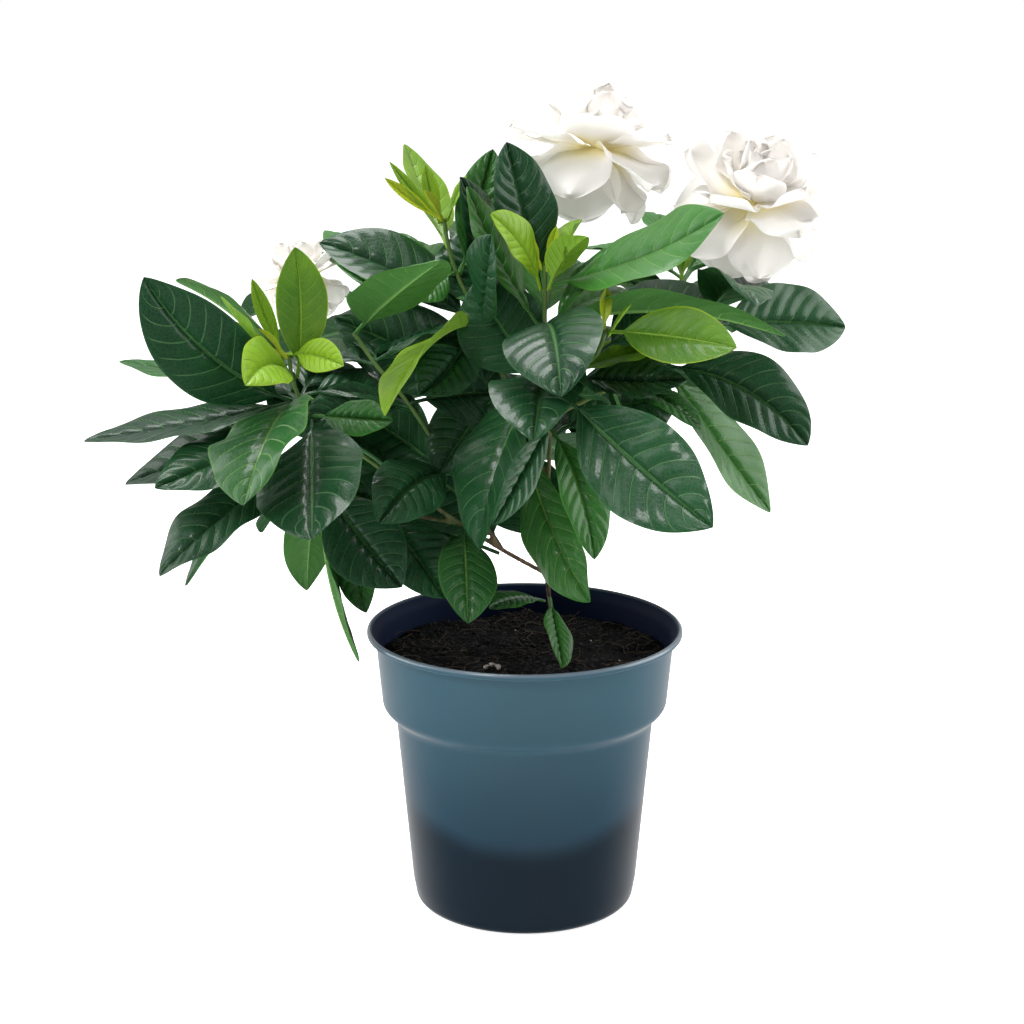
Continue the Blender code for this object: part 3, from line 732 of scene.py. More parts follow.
TIPS = [
    ("tip_01", "left", 7, 180, 25, 30, 6, -10, -60, "bud"),
    ("tip_02", "left", 7, 190, 12, 27, 6, -10, -60, "bud"),
    ("tip_03", "left", 7, 175, 65, 32, 7, -8, -60, "young"),
    ("tip_04", "left", 7, 205, 52, 15, 4, 8, 20, "bud"),
    ("tip_05", "left", 7, 60, 70, 16, 5, 8, 20, "young"),
    ("tip_06", "upper_left", 6, 180, 32, 27, 5, -10, -60, "bud"),
    ("tip_07", "upper_left", 6, 175, 44, 30, 5, -10, -60, "young"),
    ("tip_08", "upper_left", 6, 165, 72, 22, 7, -8, -60, "young"),
    ("tip_09", "upper_left", 6, 230, 55, 16, 5, 10, 20, "bud"),
    ("tip_10", "upper_left", 6, 20, 70, 18, 5, 10, 20, "young"),
    ("tip_11", "centre", 10, 170, 75, 13, 4, 10, 20, "bud"),
    ("tip_12", "centre", 10, 60, 70, 16, 4, 10, 20, "bud"),
    ("tip_13", "centre", 10, 300, 80, 11, 3, 10, 20, "bud"),
    ("tip_14", "right", 3, 340, 60, 14, 5, 10, 20, "young"),
    ("tip_15", "right", 3, 80, 70, 16, 5, 10, 20, "bud"),
    ("tip_16", "back", 3, 90, 80, 22, 7, 10, 20, "young"),
    ("tip_17", "back_left", 3, 120, 75, 22, 7, 10, 20, "young"),
    ("tip_18", "back_right", 3, 60, 75, 22, 7, 10, 20, "young"),
]
print(len(LEAVES), "leaves for nodes,", len(MORE_LEAVES), "more and", len(TIPS), "young tips")

# %% [markdown]
# The tables show one side of the plant best. All round the back the shoots carry leaves in threes,
# each three turned from the last, so a rule with a fixed seed fills that side.

# %% Leaves on the far side
BACK_WHORLS = [
    # shoot, point, first azimuth, pitch, length, tone
    ("back", 3, 30, 30, 62, "mid"), ("back", 2, 75, 5, 74, "dark"), ("back", 1, 110, -10, 70, "dark"),
    ("back_left", 3, 60, 35, 60, "mid"), ("back_left", 2, 115, 0, 72, "dark"),
    ("back_left", 1, 90, -15, 70, "dark"), ("back_right", 3, 100, 35, 58, "mid"),
    ("back_right", 2, 50, 0, 72, "dark"), ("back_right", 1, 80, -15, 70, "dark"),
    ("far_right", 4, 60, 15, 58, "dark"), ("far_right", 2, 60, -20, 64, "dark"),
    ("centre", 6, 60, 5, 72, "dark"), ("centre", 8, 95, 35, 60, "mid"),
    ("upper_left", 4, 80, 25, 58, "mid"), ("upper_left", 2, 100, -5, 66, "dark"),
    ("left", 5, 80, 15, 64, "dark"), ("left", 3, 95, -25, 66, "dark"),
    ("mid_left", 3, 90, 15, 60, "dark"),
]
FAN = (-48, 0, 48)
BACK_ARC = (20, 160)


def back_leaves():
    """Two or three leaves for each whorl, all turned to the far side."""
    draw = random.Random(7)
    rows = []
    for number, (shoot, point, first, pitch, length, tone) in enumerate(BACK_WHORLS):
        for place, turn in enumerate(FAN):
            azimuth = first + turn + draw.uniform(-8, 8)
            lean, size = pitch + draw.uniform(-10, 10), length * draw.uniform(0.85, 1.08)
            roll, droop = draw.uniform(-25, 25), draw.uniform(20, 55)
            if BACK_ARC[0] <= azimuth <= BACK_ARC[1]:
                rows.append((f"far_{number + 1:02d}_{place + 1}", shoot, point, azimuth, lean,
                             size, size * 0.46, droop, roll, tone))
    return rows


FAR_LEAVES = back_leaves()
print(len(FAR_LEAVES), "leaves on the far side")

# %% [markdown]
# Now every row becomes a blade. The stalk reaches back into the bark by a couple of millimetres, so
# that no leaf floats. Each blade gets its own phase and a small twist from a seeded draw, and the
# blades that stand for CAD nodes are compared with the node's box.

# %% Make the leaves
ROWS, COLUMNS = 57, 23
TIP_ROWS, TIP_COLUMNS = 25, 9
SMALL_LEAF = 20
FOLDS = {"dark": 12, "mid": 12, "young": 16, "bud": 30}
QUILTS = {"dark": 0.0013, "mid": 0.0011, "young": 0.0004, "bud": 0.00005}
WAVES = {"dark": 0.07, "mid": 0.06, "young": 0.05, "bud": 0.0}
OWN_TONES_AND_PAINTED_LIGHT = {
    # name: 0 for the darkest leaf of its tone, 1 for the lightest; the values partly paint light and
    # shade, so a leaf in bright light, such as middle_01 and top_04 with their sheen, is set lighter
    "left_13": 0.0, "left_14": 0.5, "left_15": 0.8, "right_01": 0.0, "right_02": 0.45, "top_02": 0.4,
    "top_03": 0.95, "upper_01": 0.45, "upper_06": 0.75, "left_05": 0.0, "middle_01": 1.0, "top_04": 1.0,
    "right_03": 0.7, "right_07": 0.9, "front_06": 0.6, "front_08": 0.0, "front_02": 0.8, "more_02": 0.9,
    "more_09": 0.1,
}


def blade_values(row, draw):
    """The tree's inputs for one row of a leaf table."""
    name, shoot, point, azimuth, pitch, length, width, droop, roll, tone = row
    azimuth, pitch, droop, roll = (math.radians(value) for value in (azimuth, pitch, droop, roll))
    upper, lower = LEAF_SKINS[tone]
    small = length < SMALL_LEAF or width < 8
    values = {
        "Length": length * MM, "Width": width * MM, "Pitch": pitch, "Azimuth": azimuth, "Roll": roll,
        "Droop": droop if abs(droop) > 0.02 else 0.02, "Twist": draw.uniform(-0.35, 0.35),
        "Fold": math.tan(math.radians(FOLDS[tone])) * draw.uniform(0.8, 1.3),
        "Cup": draw.uniform(-0.12, 0.02), "Stalk Reach": 2.4 * MM,
        "Quilting": QUILTS[tone] * draw.uniform(0.8, 1.2), "Wave": WAVES[tone] * draw.uniform(0.5, 1.5),
        "Waves": draw.uniform(1.6, 3.0), "Phase": draw.uniform(0.0, 6.28), "Tone": draw.random(),
        "Seat": leaf_seat(shoot, point, azimuth, pitch), "Rows": TIP_ROWS if small else ROWS,
        "Columns": TIP_COLUMNS if small else COLUMNS, "Upper Skin": upper, "Lower Skin": lower}
    # For the leaves in this table the tone partly paints their light and shade.
    values["Tone"] = OWN_TONES_AND_PAINTED_LIGHT.get(name, values["Tone"])
    return values


def make_leaves(rows, draw, stands_for):
    """One piece for each row."""
    worst = 0.0
    for row in rows:
        mesh = grown(BLADE, blade_values(row, draw))
        nodes = [f"leaf_{row[0]}"] if stands_for else []
        piece = add_piece(f"blade_{row[0]}", mesh, nodes)
        if stands_for:
            low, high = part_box(nodes[0])
            middle = sum((Vector(corner) for corner in piece.bound_box), Vector()) / 8
            worst = max(worst, (middle - (low + high) / 2).length)
    return worst


draw = random.Random(11)
drift = make_leaves(LEAVES, draw, True)
make_leaves(MORE_LEAVES + TIPS, draw, False)
make_leaves(FAR_LEAVES, draw, False)
print("largest shift of a blade's middle from its node: %.1f mm" % (drift / MM))

# %% [markdown]
# ## Flowers
#
# A double gardenia opens in whorls: the lowest petals hang back, the next ones spread, and the
# inner ones stand up and wrap round each other. Petals are blades too, with a blunt outline that
# is widest near the tip, a cupped section and a ruffled edge. The throat is yellow, and so are the
# petals that have aged. Each whorl is a row: count, pitch, length, width, droop, cup, ruffle, rise.

# %% Petal material
# How strongly the petals glow: painted light, for the light that passes through them.
PETAL_GLOW = 0.10


def petal_material(name, throat):
    """Cream white, thin and soft, so light passes through it, with a faint painted glow for that light,
    and yellow towards its root.
    """
    material, tree, shader = new_material(name)
    along, across = leaf_coordinates(tree)
    place = object_place(tree)
    cloud = noise(tree, place, 60.0)
    ribs = (across * 34.0 + cloud * 5.0).sin() * 0.5 + 0.5
    base = colour_mix(tree, cloud * 0.7, (0.745, 0.715, 0.675), (0.785, 0.755, 0.715))
    warm = (1.0 - along.ease(0.02, throat)) * (0.55 + 0.45 * cloud)
    base = colour_mix(tree, warm, base, (0.78, 0.68, 0.28))
    set_shader(tree, shader, Base_Color=base, Roughness=0.62 + 0.1 * cloud, Specular_IOR_Level=0.25)
    set_shader(tree, shader, Subsurface_Weight=0.8, Subsurface_Scale=0.003)
    set_shader(tree, shader, Subsurface_Radius=(1.0, 1.0, 1.0))
    # painted light: the petals glow faintly in their own colour, for the light that passes through them
    set_shader(tree, shader, Emission_Color=base, Emission_Strength=PETAL_GLOW)
    bump(tree, shader, ribs * 0.2 + cloud * 0.5, 0.00012)
    return material


PETAL_OUTER = petal_material("petal_outer", 0.55)
PETAL_INNER = petal_material("petal_inner", 0.22)
print("petals:", PETAL_OUTER.name, PETAL_INNER.name)

# %% Flower tables
HEART_RISE = 0.0136
STALK_GAP = 0.0018
WHORLS = [
    # count, pitch, length, width, droop, cup, ruffle, rise, skin
    (5, -42, 33, 29, 40, 0.16, 0.05, -6, PETAL_OUTER),
    (6, -16, 35, 30, 34, 0.14, 0.06, -5, PETAL_OUTER),
    (6, 4, 36, 30, -22, 0.14, 0.06, -4, PETAL_OUTER),
    (6, 26, 29, 27, -42, 0.24, 0.07, -3, PETAL_INNER),
    (5, 46, 25, 24, -58, 0.36, 0.08, -2, PETAL_INNER),
    (5, 60, 20, 20, -75, 0.50, 0.08, -1, PETAL_INNER),
    (4, 72, 16, 16, -85, 0.65, 0.08, 0, PETAL_INNER),
    (3, 82, 12, 12, -90, 0.90, 0.06, 0, PETAL_INNER),
]
FLOWERS = [
    # name, shoot, azimuth, pitch, size, seed
    ("top", "top_flower", 80, 80, 1.0, 3),
    ("right", "right_flower", 285, 60, 0.95, 8),
    ("left", "left_flower", 150, 75, 0.6, 5),
]
GOLDEN_TURN = 2.39996


def petal_values(whorl, angle, size, draw):
    """The tree's inputs for one petal of a flower that faces +Z."""
    _, pitch, length, width, droop, cup, ruffle, rise, skin = whorl
    start = Vector((math.cos(angle), math.sin(angle), 0.0)) * 2.0 * MM * size
    return {
        "Length": length * MM * size * draw.uniform(0.9, 1.08),
        "Width": width * MM * size * draw.uniform(0.9, 1.1),
        "Pitch": math.radians(pitch + draw.uniform(-9, 9)),
        "Droop": math.radians(droop + draw.uniform(-14, 14)) + 0.02, "Azimuth": angle,
        "Roll": draw.uniform(-0.22, 0.22), "Twist": draw.uniform(-0.3, 0.3), "Fold": 0.0,
        "Cup": cup * draw.uniform(0.7, 1.2), "Skew": 1.35, "Bluntness": 0.5, "Stalk Share": 0.04,
        "Tip Density": 1.0,
        "Stalk Half Width": 0.0018, "Quilting": 0.00004, "Wave": ruffle * 1.8, "Waves": 1.7,
        "Tip Ruffle": ruffle, "Phase": draw.uniform(0.0, 6.28), "Tone": draw.random(),
        "Thickness": 0.0005, "Stalk Depth": 0.001, "Seat": start + Vector((0, 0, rise * MM * size)),
        "Rows": 29, "Columns": 21, "Upper Skin": skin, "Lower Skin": skin}


def make_flower(name, shoot, azimuth, pitch, size, seed):
    """All the petals of one flower as one corolla, on the end of its shoot."""
    draw = random.Random(seed)
    meshes = []
    for number, whorl in enumerate(WHORLS):
        first = number * GOLDEN_TURN
        for place in range(whorl[0]):
            angle = first + 2 * math.pi * place / whorl[0] + draw.uniform(-0.18, 0.18)
            meshes.append(grown(BLADE, petal_values(whorl, angle, size, draw)))
    mesh = joined(meshes, name)
    direction = heading(math.radians(azimuth), math.radians(pitch))
    end = Vector(SHOOTS[shoot][2][-1]) * MM
    turn = direction.to_track_quat("Z", "Y").to_matrix().to_4x4()
    turn.translation = end + direction * (HEART_RISE * size + STALK_GAP)
    mesh.transform(turn)
    return add_piece(f"corolla_{name}", mesh, [f"flower_{name}"]), turn


FLOWER_TURNS = {}
for flower in FLOWERS:
    corolla, FLOWER_TURNS[flower[0]] = make_flower(*flower)
    print(corolla.name, len(corolla.data.polygons), "faces")

# %% [markdown]
# Below each corolla sits the calyx: a ribbed green tube with six narrow sepals. The tube is turned
# from a short profile, and the sepals are blades again.

# %% Calyces
CALYX_PROFILE = [(1.2, -15.5), (2.6, -14.4), (3.2, -12.6), (3.0, -10.6), (2.4, -8.6), (1.7, -7.0)]
CALYX_SIDES = 36
SEPAL_OUT, SEPAL_HEIGHT = 2.6, -12.0
SEPALS = 6


def calyx(name, size):
    """The tube and its sepals, facing +Z."""
    shape = bmesh.new()
    rings = []
    for radius, height in CALYX_PROFILE:
        ring = []
        for side in range(CALYX_SIDES):
            angle = 2 * math.pi * side / CALYX_SIDES
            ribbed = radius * (1.0 + 0.07 * math.cos(SEPALS * angle)) * MM * size
            ring.append(shape.verts.new((
                ribbed * math.cos(angle), ribbed * math.sin(angle), height * MM * size)))
        rings.append(ring)
    for lower, upper in zip(rings, rings[1:]):
        for side in range(CALYX_SIDES):
            after = (side + 1) % CALYX_SIDES
            shape.faces.new((lower[side], lower[after], upper[after], upper[side]))
    shape.faces.new(list(reversed(rings[0])))
    shape.faces.new(rings[-1])
    tube = bpy.data.meshes.new("calyx_tube")
    shape.to_mesh(tube)
    shape.free()
    tube.shade_smooth()
    tube.materials.append(LEAF_SKINS["mid"][1])
    meshes = [tube]
    for number in range(SEPALS):
        angle = 2 * math.pi * number / SEPALS
        outward = Vector((math.cos(angle), math.sin(angle), 0)) * SEPAL_OUT * MM * size
        meshes.append(grown(BLADE, {
            "Length": 0.008 * size, "Width": 0.0030 * size, "Pitch": 0.9, "Droop": 1.3, "Azimuth": angle,
            "Fold": 0.3, "Quilting": 0.0, "Wave": 0.0, "Stalk Half Width": 0.0009,
            "Rows": 13, "Columns": 7,
            "Seat": outward + Vector((0, 0, SEPAL_HEIGHT * MM * size)),
            "Upper Skin": LEAF_SKINS["mid"][0], "Lower Skin": LEAF_SKINS["mid"][1]}))
    return joined(meshes, name)


for name, _, _, _, size, _ in FLOWERS:
    mesh = calyx(f"calyx_{name}", size)
    mesh.transform(FLOWER_TURNS[name])
    add_piece(f"calyx_{name}", mesh)
print(len(FLOWERS), "calyces")

# %% [markdown]
# ## Stem
#
# The stem grew as one piece, so it should have no seams where a branch leaves. Each shoot is drawn
# as a curve whose points carry their radius, a small Geometry Nodes tree sweeps a round section
# along all of them, and a voxel remesh then melts the overlapping tubes into one skin. The age of
# the bark goes on every vertex as `bark_age`: brown at the trunk, green at the tips.

# %% Bark material
def bark_material():
    """Ridged brown bark that turns green on the young shoots."""
    material, tree, shader = new_material("bark_skin")
    place = object_place(tree)
    aged = add_node(tree, "ShaderNodeAttribute", {"attribute_name": "bark_age"})
    age = Wire(tree, aged.outputs["Fac"])
    ridges = noise(tree, place, 420.0, 5.0, 0.65, (1.0, 1.0, 0.25))
    patches = noise(tree, place, 110.0, 3.0)
    brown = colour_mix(tree, ridges.ease(0.35, 0.7), (0.060, 0.030, 0.018), (0.210, 0.125, 0.075))
    brown = colour_mix(tree, patches.ease(0.55, 0.75) * 0.4, brown, (0.29, 0.23, 0.17))
    green = colour_mix(tree, patches, (0.060, 0.130, 0.025), (0.120, 0.210, 0.045))
    base = colour_mix(tree, age.ease(0.30, 0.62), green, brown)
    set_shader(tree, shader, Base_Color=base, Roughness=0.85 - 0.2 * (1.0 - age))
    bump(tree, shader, ridges * 0.8 + patches * 0.4, 0.0007)
    return material


BARK = bark_material()

# %% Shoot tree
def shoot_tree():
    """Sweep a round section along every curve."""
    tree, given = tree_with_inputs("shoots", {"Step": 0.002}, [
        ("Sides", "NodeSocketInt"), ("Skin", "NodeSocketMaterial")])
    even = add_node(tree, "GeometryNodeResampleCurve", {"mode": "LENGTH"}, {
        "Curve": given["Geometry"], "Length": given["Step"]})
    ring = add_node(tree, "GeometryNodeCurvePrimitiveCircle", inputs={
        "Resolution": given["Sides"], "Radius": MM})
    tube = add_node(tree, "GeometryNodeCurveToMesh", inputs={
        "Curve": Wire(tree, even.outputs[0]), "Profile Curve": Wire(tree, ring.outputs[0]),
        "Fill Caps": True})
    skin = step(tree, "GeometryNodeRealizeInstances", Wire(tree, tube.outputs[0]))
    skin = step(tree, "GeometryNodeSetMaterial", skin, {"Material": given["Skin"]})
    leave = tree.nodes.new("NodeGroupOutput")
    tree.links.new(skin.socket, leave.inputs[0])
    return tree


def shoot_curves():
    """All shoots as one curve object, with a radius on every point."""
    data = bpy.data.curves.new("shoots", "CURVE")
    data.dimensions = "3D"
    data.resolution_u = 12
    for root_radius, end_radius, points in SHOOTS.values():
        spline = data.splines.new("BEZIER")
        spline.bezier_points.add(len(points) - 1)
        for index, place in enumerate(points):
            knot = spline.bezier_points[index]
            knot.co = Vector(place) * MM
            knot.handle_left_type = "AUTO"
            knot.handle_right_type = "AUTO"
            knot.radius = root_radius + (end_radius - root_radius) * index / (len(points) - 1)
    curves = bpy.data.objects.new("shoots", data)
    scene.collection.objects.link(curves)
    return curves


SHOOT_TREE = shoot_tree()
tubes = grown(SHOOT_TREE, {"Step": 0.002, "Sides": 20, "Skin": BARK}, shoot_curves())
print("tubes:", len(tubes.polygons), "faces")

# %% Melt the shoots together
VOXEL = 0.0007


def melted(mesh, voxel):
    """The mesh remade as one closed skin."""
    helper = bpy.data.objects.new("helper", mesh)
    scene.collection.objects.link(helper)
    remesh = helper.modifiers.new("melt", "REMESH")
    remesh.mode = "VOXEL"
    remesh.voxel_size = voxel
    remesh.use_smooth_shade = True
    soften = helper.modifiers.new("soften", "SMOOTH")
    soften.factor = 0.5
    soften.iterations = 4
    graph = bpy.context.evaluated_depsgraph_get()
    result = bpy.data.meshes.new_from_object(helper.evaluated_get(graph))
    bpy.data.objects.remove(helper, do_unlink=True)
    return result


def bark_ages(mesh):
    """Write the bark's age on each vertex: 1 where the shoot is thick, 0 where it is thin."""
    samples = []
    for name, (root_radius, end_radius, points) in SHOOTS.items():
        young = name.endswith("flower")
        for index, place in enumerate(points):
            radius = root_radius + (end_radius - root_radius) * index / (len(points) - 1)
            samples.append((Vector(place) * MM, 0.0 if young else (radius - 1.2) / 2.4))
    tree = kdtree.KDTree(len(samples))
    for number, (place, _) in enumerate(samples):
        tree.insert(place, number)
    tree.balance()
    ages = mesh.attributes.new("bark_age", "FLOAT", "POINT")
    for vertex, slot in zip(mesh.vertices, ages.data):
        near = tree.find_n(vertex.co, 3)
        weights = [1.0 / (distance + 0.004) for _, _, distance in near]
        ages_near = [samples[number][1] for _, number, _ in near]
        slot.value = sum(w * a for w, a in zip(weights, ages_near)) / sum(weights)


stem_mesh = melted(tubes, VOXEL)
stem_mesh.materials.clear()
stem_mesh.materials.append(BARK)
bark_ages(stem_mesh)
add_piece("stem_bark", stem_mesh, ["stem"])
print("stem:", len(stem_mesh.polygons), "faces")

# %% [markdown]
# ## Pot
#
# The pot is one injection-moulded shell, so it is turned: one profile, from the middle of the floor
# up the inside, over the flanged rim and down the outside, is spun about the axis. The corners of
# the profile get small arcs and curves, because a moulded edge is never sharp and its highlight
# shows it.

# %% Pot sizes
POT_HEIGHT, RIM_RADIUS, RIM_DEPTH = 0.118, 0.065, 0.0026
COLLAR_TOP, COLLAR_FOOT, COLLAR_FOOT_HEIGHT = 0.0615, 0.0590, 0.0905
STEP_HEIGHT, WALL_TOP, WALL_FOOT, FOOT_HEIGHT = 0.0825, 0.0535, 0.0468, 0.010
BASE_RADIUS, WALL, POT_FLOOR = 0.0437, 0.0014, 0.0022
DRAIN_HOLES, DRAIN_RADIUS, DRAIN_CIRCLE = 6, 0.003, 0.030
TURN_STEPS = 144


def arc(centre, radius, start, end, steps):
    """Points on an arc, angles in degrees."""
    angles = [math.radians(start + (end - start) * index / steps) for index in range(steps + 1)]
    return [(centre[0] + radius * math.cos(a), centre[1] + radius * math.sin(a)) for a in angles]


def curve_between(start, leave, arrive, end, steps):
    """Points on a smooth curve from start to end, pulled by two handles."""
    points = []
    for index in range(steps + 1):
        t = index / steps
        shares = ((1 - t) ** 3, 3 * t * (1 - t) ** 2, 3 * t * t * (1 - t), t ** 3)
        knots = list(zip(shares, (start, leave, arrive, end)))
        points.append((sum(w * knot[0] for w, knot in knots), sum(w * knot[1] for w, knot in knots)))
    return points


def turned(profile, steps):
    """Turn a profile of (radius, height) pairs into a closed shape, ring by ring.

    The corners are made in a fixed order, so whatever is scattered on the shape later falls in the
    same places on every run.
    """
    shape = bmesh.new()
    angles = [2 * math.pi * side / steps for side in range(steps)]
    rings = []
    for radius, height in profile:
        if radius == 0.0:
            rings.append([shape.verts.new((0.0, 0.0, height))] * steps)
        else:
            rings.append([
                shape.verts.new((radius * math.cos(a), radius * math.sin(a), height)) for a in angles])
    for first, second in zip(rings, rings[1:]):
        for side in range(steps):
            after = (side + 1) % steps
            corners = dict.fromkeys((first[side], second[side], second[after], first[after]))
            shape.faces.new(list(corners))
    shape.normal_update()
    return shape


INNER = [(0.0, POT_FLOOR)]
INNER += arc((BASE_RADIUS - WALL - 0.002, POT_FLOOR + 0.004), 0.004, -90, 0, 6)
INNER += [(WALL_FOOT - WALL, FOOT_HEIGHT), (WALL_TOP - WALL, STEP_HEIGHT + WALL)]
INNER += [(COLLAR_FOOT - WALL - 0.0006, STEP_HEIGHT + 0.0036), (COLLAR_FOOT - WALL, COLLAR_FOOT_HEIGHT)]
INNER += curve_between(
    (COLLAR_TOP - WALL, POT_HEIGHT - 0.0065), (COLLAR_TOP - WALL, POT_HEIGHT - 0.0030),
    (RIM_RADIUS - 0.0030, POT_HEIGHT - 0.0015), (RIM_RADIUS - 0.0017, POT_HEIGHT - 0.0004), 7)
OUTER = arc((RIM_RADIUS - 0.0011, POT_HEIGHT - 0.0011), 0.0011, 100, 0, 5)
OUTER += arc((RIM_RADIUS - 0.0008, POT_HEIGHT - RIM_DEPTH + 0.0008), 0.0008, 0, -90, 4)
OUTER += arc((COLLAR_TOP + 0.0008, POT_HEIGHT - RIM_DEPTH - 0.0008), 0.0008, 90, 180, 4)
OUTER += curve_between(
    (COLLAR_FOOT, STEP_HEIGHT + 0.0060), (COLLAR_FOOT, STEP_HEIGHT + 0.0004),
    (WALL_TOP, STEP_HEIGHT + 0.0016), (WALL_TOP - 0.0004, STEP_HEIGHT - 0.0042), 14)
OUTER += [(WALL_FOOT, FOOT_HEIGHT)]
OUTER += arc((BASE_RADIUS - 0.002, 0.004), 0.004, -10, -90, 8)
OUTER += [(0.020, 0.0), (0.0, 0.0)]
print("pot profile:", len(INNER) + len(OUTER), "points")

# %% [markdown]
# The plastic is glossy blue-green. Its colour is painted lighter towards the rim, for the light that
# passes through it, and painted dark at the foot, in a band that curves up at the left and right,
# for the shade and dark reflection there. Faint moulding rings and fine scuffs keep the highlights
# from being perfectly even. The lip is painted pale, partly for wear and partly for its highlight.

# %% Pot material
# Where the painted shade and dark reflection at the pot's foot ends, and how far it curves up at the
# sides.
PAINTED_SHADE_LINE = 0.0365
PAINTED_SHADE_RISE = 4.0
# Heights of the pale lip outside and inside: partly wear, partly a painted highlight.
LIP_WEAR_AND_HIGHLIGHT = (0.1165, 0.1175)
INNER_LIP_WEAR_AND_HIGHLIGHT = (0.1170, 0.1178)


def pot_material():
    """Glossy plastic, painted lighter towards the rim, with painted shade and dark reflection at the
    foot and a lip painted pale for wear and highlight.
    """
    material, tree, shader = new_material("pot_plastic_skin")
    place = object_place(tree)
    x, _, z = axes_of(tree, place)
    cloud = noise(tree, place, 28.0, 2.0)
    scuffs = noise(tree, place, 900.0, 4.0, 0.7, (1.0, 1.0, 0.06)).ease(0.62, 0.78)
    height = z + (cloud - 0.5) * 0.003
    painted_shade_height = height - (x * x) * PAINTED_SHADE_RISE
    # painted light: the colour grows lighter towards the rim, for the light that passes through the
    # plastic there
    body = colour_mix(tree, height.ease(0.03, 0.115), (0.011, 0.042, 0.070), (0.034, 0.092, 0.128))
    # painted shade and dark reflection: a dark band at the foot, curving up towards the left and right
    body = colour_mix(tree, painted_shade_height.ease(PAINTED_SHADE_LINE + 0.007, PAINTED_SHADE_LINE - 0.005), body, (0.003, 0.014, 0.027))
    # painted highlight and wear: the lip is pale, partly for wear and partly for the highlight on its
    # rounded edge
    body = colour_mix(tree, z.ease(*LIP_WEAR_AND_HIGHLIGHT) * 0.5, body, (0.22, 0.25, 0.30))
    body = colour_mix(tree, scuffs * 0.015, body, (0.30, 0.38, 0.42))
    set_shader(tree, shader, Base_Color=body, Roughness=0.26 + 0.08 * cloud + 0.03 * scuffs)
    set_shader(tree, shader, Coat_Weight=0.5, Coat_Roughness=0.12)
    set_shader(tree, shader, Sheen_Weight=0.35, Sheen_Roughness=0.22)
    rings = (z * 2600.0).sin() * 0.5 + 0.5
    bump(tree, shader, rings * 0.04 + cloud * 0.4, 0.00010)
    return material


def pot_inner_material():
    """The same plastic seen inside, in the shade of its own wall: deep navy."""
    material, tree, shader = new_material("pot_inner_skin")
    place = object_place(tree)
    z = axes_of(tree, place)[2]
    cloud = noise(tree, place, 40.0, 3.0)
    body = colour_mix(tree, cloud, (0.002, 0.006, 0.030), (0.004, 0.014, 0.052))
    # painted highlight and wear: the inner lip is pale, partly for wear and partly for the highlight on
    # it
    body = colour_mix(tree, z.ease(*INNER_LIP_WEAR_AND_HIGHLIGHT) * 0.5, body, (0.22, 0.25, 0.30))
    set_shader(tree, shader, Base_Color=body, Roughness=0.60 + 0.1 * cloud, Specular_IOR_Level=0.12)
    bump(tree, shader, cloud, 0.0002)
    return material


POT_SKIN = pot_material()
POT_INNER_SKIN = pot_inner_material()

# %% Make the pot
UNDERSIDE, FLOOR_TOP = 0.001, 0.01
INWARD, UPWARD = -0.05, 0.5


def is_inside_face(face):
    """Whether a face of the pot is on the inner wall or on the top of the floor."""
    place, normal = face.center, face.normal
    outward = place.xy.normalized() if place.xy.length > UNDERSIDE else Vector((1.0, 0.0))
    on_wall = place.z > UNDERSIDE and normal.xy.dot(outward) < INWARD
    on_floor = UNDERSIDE < place.z < FLOOR_TOP and normal.z > UPWARD
    return on_wall or on_floor


shape = turned(INNER + OUTER, TURN_STEPS)
pot_mesh = bpy.data.meshes.new("pot_shell")
shape.to_mesh(pot_mesh)
shape.free()
pot_mesh.materials.append(POT_SKIN)
helper = bpy.data.objects.new("helper", pot_mesh)
scene.collection.objects.link(helper)
for index in range(DRAIN_HOLES):
    angle = 2 * math.pi * index / DRAIN_HOLES
    bpy.ops.mesh.primitive_cylinder_add(vertices=24, radius=DRAIN_RADIUS, depth=0.012, location=(
        DRAIN_CIRCLE * math.cos(angle), DRAIN_CIRCLE * math.sin(angle), 0.0))
    cutter = bpy.context.active_object
    hole = helper.modifiers.new("hole", "BOOLEAN")
    hole.operation = "DIFFERENCE"
    hole.solver = "EXACT"
    hole.object = cutter
    graph = bpy.context.evaluated_depsgraph_get()
    cut = bpy.data.meshes.new_from_object(helper.evaluated_get(graph))
    helper.modifiers.clear()
    helper.data = cut
    bpy.data.objects.remove(cutter, do_unlink=True)
pot_mesh = helper.data
bpy.data.objects.remove(helper, do_unlink=True)
pot_mesh.materials.append(POT_INNER_SKIN)
for face in pot_mesh.polygons:
    if is_inside_face(face):
        face.material_index = 1
pot_mesh.shade_smooth()
pot_mesh.set_sharp_from_angle(angle=math.radians(40))
add_piece("pot_shell", pot_mesh, ["pot"])
print("pot:", len(pot_mesh.polygons), "faces")

# %% [markdown]
# ## Potting mix
#
# The settled surface is uneven, so the mix is a turned body whose top is pushed up and down by
# smooth noise. On top lie loose crumbs, fine rootlets and a few pieces of grit. There are hundreds,
# so a Geometry Nodes tree scatters one small shape over the surface with a fixed seed.

# %% Mix body
MIX_LEVEL = 0.1055
MIX_RADIUS = 0.0588
MIX_RINGS = 26
MIX_ROUGHNESS = 0.0016


def mix_material():
    """Black-brown mix with lighter grains and patches."""
    material, tree, shader = new_material("mix_skin")
    place = object_place(tree)
    grain = noise(tree, place, 700.0, 6.0, 0.7)
    patches = noise(tree, place, 90.0, 3.0)
    base = colour_mix(tree, grain.ease(0.3, 0.75), (0.001, 0.001, 0.002), (0.007, 0.0055, 0.006))
    base = colour_mix(tree, patches.ease(0.5, 0.8) * 0.4, base, (0.012, 0.008, 0.008))
    set_shader(tree, shader, Base_Color=base, Roughness=0.88 + 0.1 * grain, Specular_IOR_Level=0.15)
    bump(tree, shader, grain + patches * 0.4, 0.0009)
    return material


